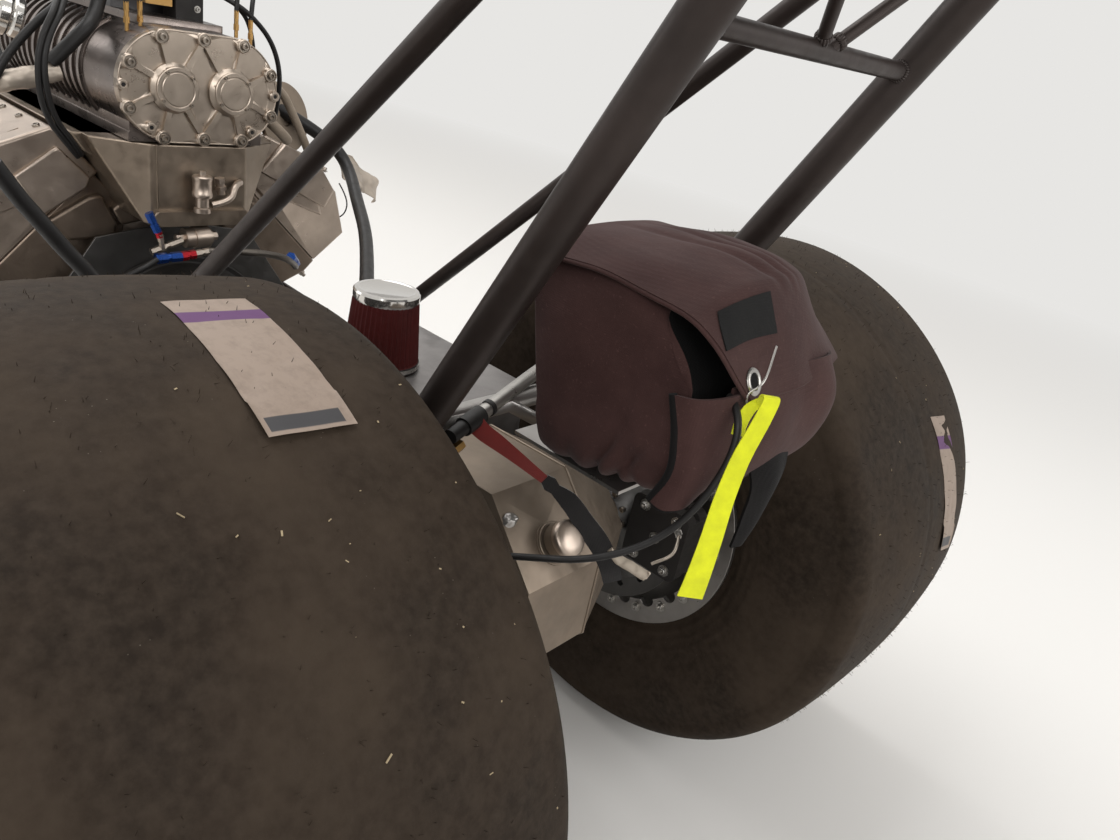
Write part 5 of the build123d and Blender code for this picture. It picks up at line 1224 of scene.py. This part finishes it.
struts, bars, welds = [], [], []
for side in (LEFT, RIGHT):
    top = on_strut(1.600, side)
    struts.append(pipe(line(on_strut(0.512, side), top, 12), STRUT_R, 64))
    plate_y = top[1] - 0.004
    struts.append(prism([
        (top[0] - 0.020, 1.560), (top[0] + 0.022, 1.560), (top[0] + 0.190, 1.660), (top[0] - 0.100, 1.700),
    ], plate_y, plate_y + 0.008, axis=1))
    foot, brace_end = car((0.667, side * 0.247, 0.489)), on_strut(BRACE_Z, side)
    bars.append(pipe(line(foot, brace_end, 12), BRACE_R, 48))
    middle, thin_end = on_strut(BAR_Z, LEFT) * (1, 0, 1) + (0, side * 0.006, 0), on_strut(THIN_BRACE_Z, side)
    bars.append(pipe(line(middle, thin_end, 6), THIN_BRACE_R, 32))
    outboard, thin_run, run = np.array((0.0, side, 0.0)), unit(thin_end - middle), unit(brace_end - foot)
    welds += [
        bead(on_strut(BAR_Z, side) - outboard * 0.0195, outboard, 0.0094, 0.0032),
        bead(thin_end - thin_run * 0.024, thin_run, 0.0062, 0.0028, ripples=16),
        bead(middle + thin_run * 0.016, thin_run, 0.0062, 0.0028, ripples=16),
        bead(brace_end - run * 0.024, run, BRACE_R, 0.0032),
    ]
bars.append(pipe(line(on_strut(BAR_Z, LEFT), on_strut(BAR_Z, RIGHT), 8), BAR_R, 48))
stands_for(piece("wing_strut_tubes", joined(struts), TUBE_PAINT, smooth=30), "wing_struts")
stands_for(piece("wing_brace_tubes", joined(bars), TUBE_PAINT, smooth=40), "wing_braces")
piece("strut_welds", joined(welds), TUBE_PAINT, smooth=60)

# Welded edge at the casing's right end: outline as (x, height above the axle)
CASING = mm([
    (88, 110), (56, 188), (-86, 192), (-170, 100), (-170, -20), (-120, -70), (-40, -120), (46, -150),
    (88, -96),
])
ring_right = np.stack([CASING[:, 0], np.full(9, -0.016), SLICK_RADIUS + CASING[:, 1]], -1)
for number, (p, q) in enumerate(zip(ring_right, np.roll(ring_right, -1, axis=0))):
    seam(f"casing_seam_{number}", car([p, q]), AXLE_PAINT, 0.0022)

# Bolts on the end of the casing's pinion nose
bolt_rise = 0.052 * np.sin(circle(8))
screws(
    "nose_bolts", car(np.stack([np.full(8, 0.178), np.zeros(8), 0.4 + bolt_rise], -1)), (1, 0, 0), DARK_SCREW,
)
CALIPER_BOLTS = ((-85, 500), (-145, 500), (-85, 412), (-145, 412), (-115, 456))
BRAKE_LINE = ((-150, 236, 494), (-168, 214, 498), (-178, 190, 482), (-160, 170, 462))
# Bolts of the rear wheels: name, circle's radius, number, distance outboard of the slick's middle,
# first angle, way they point, finish, size, washers
WHEEL_BOLTS = (
    ("bead_ring_bolts_in", 0.1875, 22, -0.2105, 0.0, -1, BRIGHT, 1.15, True),
    ("bead_ring_bolts_out", 0.206, 16, 0.2098, 0.1, 1, BRIGHT, 1.2, True),
    ("hub_bolts", 0.064, 8, 0.1205, 0.2, 1, DARK_SCREW, 1.5, True),
    ("rotor_bolts", 0.044, 10, -0.2625, 0.1, -1, DARK_SCREW, 1.0, False),
)
for side, hand in HANDS:
    places = car([(x, side * 0.2415, z) for x, z in mm(CALIPER_BOLTS)])
    screws(f"caliper_bolts_{hand}", places, (0, -side, 0), BRIGHT, 1.25)
    brake_line = through(car(mm(BRAKE_LINE) * (1, side, 1)), 40)
    piece(f"brake_line_{hand}", pipe(brake_line, 0.0026, 10), DARK_SCREW, smooth=60)
    nut = joined([pipe(brake_line[:9], 0.0062, 6), pipe(brake_line[9:14], 0.0045, 12)])
    piece(f"brake_line_nut_{hand}", nut, BRIGHT, smooth=25)
    for name, radius, count, outboard, start, way, finish, size, washer in WHEEL_BOLTS:
        places = round_places(radius, count, side * (SLICK_Y + outboard), start)
        screws(f"{name}_{hand}", places, (0, way * side, 0), finish, size, washer, "rear_wheels")
    nut = across([(0.126, 0.0), (0.126, 0.030), (0.134, 0.032), (0.150, 0.030), (0.152, 0.0)], side, 40)
    piece(f"axle_end_nut_{hand}", nut, STEEL, "rear_wheels", smooth=30)


# Red air filter
FILTER = car((0.257, 0.025, 0))
PLEATS, PLEAT_DEPTH = 42, 0.0034
height = np.array([0.652, 0.656, 0.662, 0.70, 0.742, 0.748])
a = circle(420)[:, None]
pleat = PLEAT_DEPTH * (np.abs(((a * PLEATS / (2 * math.pi)) % 1) * 2 - 1) - 0.5)
r = np.interp(height, [0.652, 0.748], [0.0535, 0.0455]) + pleat * np.array([0.2, 1, 1, 1, 1, 0.2])
pleats = np.stack(
    [FILTER[0] + r * np.cos(a), FILTER[1] + r * np.sin(a), np.broadcast_to(height, r.shape)], -1,
)
piece("filter_pleats", surface(pleats, close_rows=True), FILTER_RED, smooth=30)
for name, z, finish, profile in (
    ("filter_lid", 0.749, CHROME, (
        (0, -4), (46, -4), (47.5, 0), (47.5, 8), (45.5, 10.5), (40, 11.5), (36, 9.5), (0, 9.5),
    )),
    ("filter_foot", 0.6455, HOSE, ((0, 0), (55, 0), (56, 3), (55.5, 11), (52, 13), (0, 13))),
    ("filter_clamp", 0.6455, BRIGHT, ((56.2, 4), (57.2, 4), (57.2, 10), (56.2, 10), (56.2, 4))),
):
    turned_piece(name, profile, 72, FILTER + (0, 0, z), UP, finish, 35)


# Engine: the blower's rear cover
COVER_X, COVER_Z, LOBE_Y, LOBE_R = 0.8397, 0.924, 0.051, 0.0905
COVER_FACE_X = COVER_X - 0.0005


def on_cover(places):
    """Points on the cover's face, left and right, from (distance outboard, height) from its middle."""
    return [(COVER_FACE_X, side * y, COVER_Z + z) for y, z in places for side in (LEFT, RIGHT)]


places = on_cover(((0.072, 0.080), (0.125, 0.036), (0.128, -0.036), (0.071, -0.082)))
places += [(COVER_FACE_X, 0, 1.006), (COVER_FACE_X, 0, 0.842)]
turned_piece("cover_boss_rings", (
    (9, -2), (11.8, -2), (11.8, 2.6), (10.8, 3.8), (9.6, 3.8), (9, 3),
), 30, car(places), BACK, MACHINED, 30)
screws("cover_screws", car(places) - (0.0006, 0, 0), BACK, DARK_SCREW, 1.25)
plain = car(on_cover(((0.136, 0.0), (0.092, -0.066))))
turned_piece("cover_socket_bosses", (
    (0, 0.3), (3.6, 0.3), (3.8, 1.2), (6.2, 1.3), (7.8, 0.4), (8.2, -2),
), 28, plain, BACK, MACHINED, 30)
turned_piece("cover_sockets", ((0, 0.6), (3.8, 0.6), (3.8, -1), (0, -1)), 6, plain, BACK, HOSE, 0)
caps = car([(0.8277, side * LOBE_Y, COVER_Z) for side in (LEFT, RIGHT)])
turned_piece("bearing_cap_faces", (
    (0, 1.2), (26, 1.2), (27.2, 0.3), (28.5, 0.3), (29.7, 1.2), (35, 1.2), (36.2, 0),
    (36.2, -3), (0, -3),
), 72, caps, BACK, MACHINED, 25)
around = [(0.0, math.sin(turn) * 0.0322, math.cos(turn) * 0.0322) for turn in (0.6, 2.2, 3.9, 5.4)]
places = np.concatenate([caps + place_ for place_ in around]) - (0.0013, 0, 0)
screws("bearing_cap_screws", places, BACK, DARK_SCREW, 0.62, washer=False)

# Intake manifold: a flat rear wall whose wings fall back to the heads, under two ears
heights = np.linspace(0.688, 0.8285, 14)
wing_half = np.interp(heights, [0.688, 0.8285], [0.098, 0.172])
wing_x = np.interp(heights, [0.688, 0.8285], [0.862, 0.906])
rings = np.stack([
    np.stack([
        np.array([1.44, wx, 0.8565, 0.8515, 0.8505, 0.8505, 0.8515, 0.8565, wx, 1.44]),
        np.array([-wh, -wh, -0.094, -0.088, -0.078, 0.078, 0.088, 0.094, wh, wh]), np.full(10, z),
    ], -1)
    for z, wh, wx in zip(heights, wing_half, wing_x)
])
shapes = [surface(capped(rings), close_columns=True)]
shapes += [
    prism([(s * 0.188, 0.8285), (s * 0.105, 0.8285), (s * 0.146, 0.785), (s * 0.167, 0.797)], 0.930, 1.440)
    for s in (1, -1)
]
manifold = piece("manifold_body", moved(joined(shapes)), WARM_CAST, smooth=30)
stands_for(rounded(manifold, 0.003), "intake_manifold")
ledge = prism((
    (-0.0915, 0.7), (-0.0915, 0.706), (-0.086, 0.7135), (0.086, 0.7135), (0.0915, 0.706), (0.0915, 0.693),
    (0.086, 0.686),
    (-0.086, 0.686), (-0.0915, 0.693),
), 0.838, 0.864)
rounded(piece("manifold_ledge", moved(ledge), WARM_CAST, smooth=30), 0.003)
seam(
    "manifold_seam", car([(0.8500, 0.079, 0.828), (0.8502, 0.079, 0.76), (0.8500, 0.079, 0.715)]), WARM_CAST,
    0.0016,
)

# Rear ends of the valve covers with a raised panel each, and raised panels on the heads' ends
COVER_END = ((140, 737), (128, 752), (201, 829), (300, 790), (346, 657))
LEFT_PANEL = ((196, 796), (144, 742), (151, 724), (228, 674), (268, 744), (207, 789))
RIGHT_PANEL = ((236, 818), (184, 757), (300, 700), (346, 678), (368, 716), (330, 768))
HEAD_PANEL = ((222, 664), (150, 708), (126, 712), (118, 690), (101, 655), (108, 632), (190, 629))
SMALL_PANEL = ((92, 702), (111, 685), (95, 655), (52, 663), (66, 690))
for side, hand in HANDS:
    for name, outline, near, far, edge, finish in (
        ("cover_end", COVER_END, 0.9735, 1.478, 0.006, COVER_ALLOY),
        ("cover_end_panel", LEFT_PANEL if side > 0 else RIGHT_PANEL, 0.9655, 0.985, 0.005, COVER_ALLOY),
        ("head_end_panel", HEAD_PANEL, 0.9665, 0.990, 0.006, CAST),
        ("head_end_step", SMALL_PANEL, 0.9625, 0.990, 0.005, CAST),
    ):
        shape = moved(prism([(side * y, z) for y, z in mm(outline)], near, far))
        rounded(piece(f"{name}_{hand}", shape, finish, smooth=30), edge, 4)

# A lip round the cover's plate
a, b = np.linspace(0, 2 * math.pi, 121)[:-1, None], circle(8)
rim = np.stack(
    [
        np.full(a.shape, 0.8462), np.where(np.cos(a) > 0, LOBE_Y, -LOBE_Y) + LOBE_R * np.cos(a),
        COVER_Z + LOBE_R * np.sin(a),
    ],
    -1,
)
lip = car(rim) + 0.0016 * np.stack([np.sin(b) + 0 * a, np.cos(b) * np.cos(a), np.cos(b) * np.sin(a)], -1)
piece("cover_lip", surface(lip, close_rows=True, close_columns=True), MACHINED, smooth=60)


# Pipe fittings on top of the case and below its cover
def fitting(name, foot, top, finish, radius):
    """A pipe fitting from a foot to a top: thread, hexagon, neck and hexagon."""
    piece(name, rods(foot, top, (
        (0, 0.30, radius * 0.75, 18), (0.28, 0.5, radius * 1.15, 6), (0.48, 0.72, radius * 0.85, 18),
        (0.70, 1, radius, 6),
    )), finish, smooth=25)


NOZZLE_X = 0.90
for number, (y, z) in enumerate(((0.102, 1.000), (0.080, 1.004), (-0.090, 1.012), (-0.118, 1.000))):
    fitting(f"nozzle_{number}", car((NOZZLE_X, y, z)), car((NOZZLE_X, y, z + 0.045)), BRASS, 0.0046)
    hose = curve_points(car([
        (NOZZLE_X, y, z + 0.043), (NOZZLE_X, y * 1.02, z + 0.075), (NOZZLE_X + 0.05, y * 1.3, z + 0.11),
        (NOZZLE_X + 0.14, y * 1.7, z + 0.10),
    ]), 8)
    piece(f"nozzle_hose_{number}", pipe(hose, 0.0042, 12), HOSE, smooth=60)
fitting("nozzle_low", car((0.866, -0.058, 0.788)), car((0.862, -0.077, 0.822)), BRASS, 0.0055)

# Hoses: name, radius, finish and route
HOSES = (
    (
        "hose_over_blower", 11.2, HOSE,
        ((1020, 90, 1060), (970, 118, 1030), (930, 146, 1002), (930, 176, 972), (930, 212, 934)),
    ),
    (
        "hose_left_a", 4.8, HOSE,
        (
            (1000, 160, 1080), (900, 200, 1038), (880, 241, 976), (880, 249, 914), (880, 240, 858),
            (890, 205, 813), (905, 187, 793),
        ),
    ),
    (
        "hose_left_b", 4.8, HOSE,
        (
            (1000, 150, 1090), (900, 190, 1036), (880, 233, 973), (875, 241, 921), (880, 229, 858),
            (890, 195, 815), (905, 182, 796),
        ),
    ),
    (
        "hose_left_c", 6.6, HOSE,
        (
            (960, 160, 1070), (920, 193, 1028), (920, 228, 998), (920, 267, 954), (920, 292, 915),
            (930, 310, 870),
        ),
    ),
    (
        "hose_right_a", 4.6, HOSE,
        (
            (960, -60, 1085), (900, -85, 1070), (900, -121, 1051), (900, -158, 1018), (900, -178, 975),
            (900, -182, 928), (910, -180, 880),
        ),
    ),
    (
        "hose_right_b", 4, HOSE,
        (
            (980, -50, 1090), (920, -75, 1080), (910, -100, 1062), (910, -120, 1040), (920, -136, 1000),
            (930, -142, 980),
        ),
    ),
    ("breather_hose", 13.5, HOSE, (
        (1060, -200, 900), (1020, -262, 872), (1000, -326, 840), (1000, -392, 800), (960, -400, 760),
        (860, -352, 722), (740, -292, 690), (620, -212, 660), (500, -125, 635), (400, -85, 615),
        (379, -80, 612),
    )),
    (
        "braided_right_a", 8.5, BRAID,
        ((970, -175, 950), (950, -214, 924), (950, -238, 887), (950, -262, 846), (950, -284, 804)),
    ),
    (
        "braided_right_b", 10.5, BRAID,
        ((930, -150, 885), (900, -172, 862), (900, -196, 842), (920, -214, 832)),
    ),
    (
        "ignition_wire", 1.6, HOSE,
        ((1000, -373, 655), (1000, -398, 642), (1000, -425, 655), (1000, -428, 690), (1020, -415, 720)),
    ),
    (
        "dark_tube_left", 12.5, HOSE,
        (
            (700, 372, 826), (700, 345, 780), (700, 321, 747), (700, 285, 695), (700, 256, 659),
            (700, 240, 630),
        ),
    ),
    (
        "braided_hose", 6.6, DARK_BRAID,
        ((800, 10, 650), (780, -45, 652), (780, -110, 642), (790, -157, 624), (820, -185, 600)),
    ),
    ("fuel_line_low", 5.2, HOSE, ((800, 105, 640), (790, 130, 630), (800, 160, 612), (830, 180, 590))),
)
for name, radius, finish, route in HOSES:
    piece(name, pipe(curve_points(car_mm(route), 10), radius / 1000, 16), finish, smooth=60)
wrap = curve_points(
    car_mm([(990, 345, 868), (950, 300, 892), (930, 270, 904), (930, 235, 914), (930, 199, 921)]), 16,
)
thick = pipe_grid(wrap, along(len(wrap), (0, 0.0165), (0.6, 0.0165), (0.9, 0.0150), (1, 0.0125)), 24)
thick += normals(thick) * (0.0016 * ripple(thick, 150, 21) + 0.0006 * ripple(thick, 420, 22))[..., None]
piece("wrapped_tube", surface(capped(thick), close_columns=True), WRAP, smooth=60)

# Hose ends: name, finish, start, end, radius
ENDS = (
    ("blue_end_a", BLUE_ANODISED, (805, 105, 640), (801, 60, 643), 9.5),
    ("red_end", RED_ANODISED, (801, 60, 643), (800, 35, 646), 8.8),
    ("bright_end", DARK_SCREW, (800, 36, 646), (800, 8, 650), 7.2),
    ("blue_end_b", BLUE_ANODISED, (842, 99, 712), (838, 85, 678), 8),
    ("red_neck", RED_ANODISED, (838, 85, 680), (837, 82, 668), 6.5),
    ("steel_tee_a", DARK_SCREW, (837, 82, 674), (836, 78, 645), 5.8),
    ("steel_tee_b", DARK_SCREW, (838, 98, 642), (840, 40, 660), 6.8),
    ("blue_end_c", BLUE_ANODISED, (800, -160, 628), (822, -186, 606), 10.5),
)
for name, finish, start, end, radius in ENDS:
    r = radius / 1000
    parts = ((0, 0.45, r, 6), (0.4, 0.62, r * 0.78, 20), (0.58, 1, r * 0.95, 6))
    piece(name, rods(car_mm(start), car_mm(end), parts), finish, smooth=25)

piece("fuel_canister", rods(car((0.85, 0.048, 0.6605)), car((0.85, -0.030, 0.6632)), (
    (0, 0.22, 0.0085, 6), (0.20, 0.42, 0.0180, 40, 4), (0.42, 0.78, 0.0205, 40, 4), (0.76, 0.86, 0.0145, 40),
    (0.84, 1, 0.0085, 6),
)), COVER_ALLOY, smooth=35)
turned_piece("boost_valve", (
    (0, 0), (14.5, 0), (14.5, 8), (11.5, 10), (11.5, 26), (16.5, 28), (17.5, 30), (17.5, 36),
    (16.5, 37.5), (16.5, 58), (17.5, 59.5), (17.5, 64), (15.5, 66), (6, 66), (5.5, 74), (0, 74),
), 48, car((0.823, 0.011, 0.716)), UP, COVER_ALLOY, 35)
elbow = curve_points(
    car_mm([
        (826, -8, 728), (826, -30, 732), (826, -48, 742), (828, -52, 756), (836, -62, 764), (846, -74, 764),
    ]),
    10,
)
piece("valve_elbow", pipe(elbow, 0.0062, 18), COVER_ALLOY, smooth=60)
fitting("valve_brass", car((0.832, -0.030, 0.746)), car((0.832, -0.026, 0.776)), COVER_ALLOY, 0.0095)

# Box and plate on top of the case, the chromed canister to the left and the plate to the right
box = block(car((0.955, -0.056, 1.018)), car((1.005, -0.006, 1.085)))
piece("coil_box", box, BLACK_STEEL, smooth=30)
screws("coil_box_screw", car([(0.955, -0.045, 1.046)]), BACK, BRIGHT, 0.8)
piece("gold_plate", block(car((0.955, 0.000, 1.044)), car((1.000, 0.046, 1.075))), BRASS, smooth=30)
turned_piece("chromed_canister", (
    (0, 0), (30, 0), (34, 4), (34, 12), (31, 16), (36, 22), (36, 34), (33, 38),
    (37.5, 44), (37.5, 60), (34, 64), (38, 70), (38, 115), (34, 120), (0, 120),
), 64, car((1.045, 0.212, 0.985)), (0.12, 0.86, 0.25), CHROME, 30)
turned_piece("side_plate", (
    (0, 0), (16, 0), (18, 3), (70, 3), (72, 0), (72, -6), (0, -6),
), 64, car((1.02, -0.268, 0.858)), (-0.9, -0.3, 0.2), WARM_CAST, 30)
for number, (y, z) in enumerate(((0.088, 0.734), (0.077, 0.728), (0.066, 0.721), (0.052, 0.713))):
    foot = car((0.975, y, z))
    fitting(f"head_stud_{number}", foot, foot + (-0.012, 0.010, 0.016), DARK_SCREW, 0.0048)

# Crumpled heat sleeve over the breather hose, outboard of the right valve cover
SLEEVE_ROWS = (
    ((1040, -392, 792), (1040, -425, 788), (1040, -462, 775)),
    ((1020, -400, 772), (1030, -448, 756), (1050, -505, 742)),
    ((1010, -418, 752), (1030, -478, 728), (1050, -548, 718)),
    ((1010, -442, 728), (1030, -496, 700), (1050, -540, 690)),
    ((1020, -470, 712), (1030, -505, 684), (1050, -527, 668)),
)
crumpled = through(through(mm(SLEEVE_ROWS), 60), 60, 1)
crumpled = crumpled + normals(crumpled) * (
    0.005 * ripple(crumpled, 70, 31) + 0.002 * ripple(crumpled, 190, 32)
)[..., None]
piece("heat_sleeve", slab(car(crumpled), 0.002), WRAP, smooth=60)

# Studs and nuts of the open exhaust faces, which lie this far along and across their banks at 45 degrees
CRANK_Z, FACE_ALONG, FACE_ACROSS, COS_45 = 0.4, 0.310, 0.128, 0.7071
FIRST_PORT_X, PORT_PITCH, STUD_X = 1.048, 0.128, 0.036
for side, hand in HANDS:
    face = unit((0, side, -1))
    for cylinder in range(4):
        port = car((
            FIRST_PORT_X + PORT_PITCH * cylinder, side * (FACE_ALONG + FACE_ACROSS) * COS_45,
            CRANK_Z + (FACE_ALONG - FACE_ACROSS) * COS_45,
        ))
        for x, letter in ((-STUD_X, "a"), (STUD_X, "b")):
            foot = port + (x, 0, 0)
            piece(f"exhaust_stud_{hand}_{cylinder}_{letter}", joined([
                pipe(line(foot - face * 0.004, foot + face * 0.030), 0.0042, 14),
                set_at(HEX_HEAD, foot + face * 0.016, face, 1.35),
            ]), DARK_SCREW, smooth=25)

# Raised panels and screws of the valve covers, whose rear ends lie at x = 0.98
for side, hand in HANDS:
    base, end = car((0.98, side * 0.204, 0.823)), car((0.98, side * 0.378, 0.744))
    top_out = unit(np.cross((1, 0, 0), end - base) * side)
    box, quads = block((-0.055, -0.060, -0.004), (0.055, 0.060, 0.0075))
    basis = np.stack([np.array((1.0, 0, 0)), unit(end - base), top_out], -1)
    for number, step in enumerate((0.06, 0.22, 0.38)):
        at = base + (end - base) * 0.5 + (step + 0.03, 0, 0)
        piece(f"cover_panel_{hand}_{number}", (box @ basis.T + at, quads), COVER_ALLOY, smooth=30)
    places = [
        base + (end - base) * s + (x, 0, 0) + top_out * 0.0005
        for x in np.linspace(0.02, 0.50, 7) for s in (0.06, 0.88)
    ]
    screws(f"valve_cover_screws_{hand}", places, top_out, DARK_SCREW, 1.3)
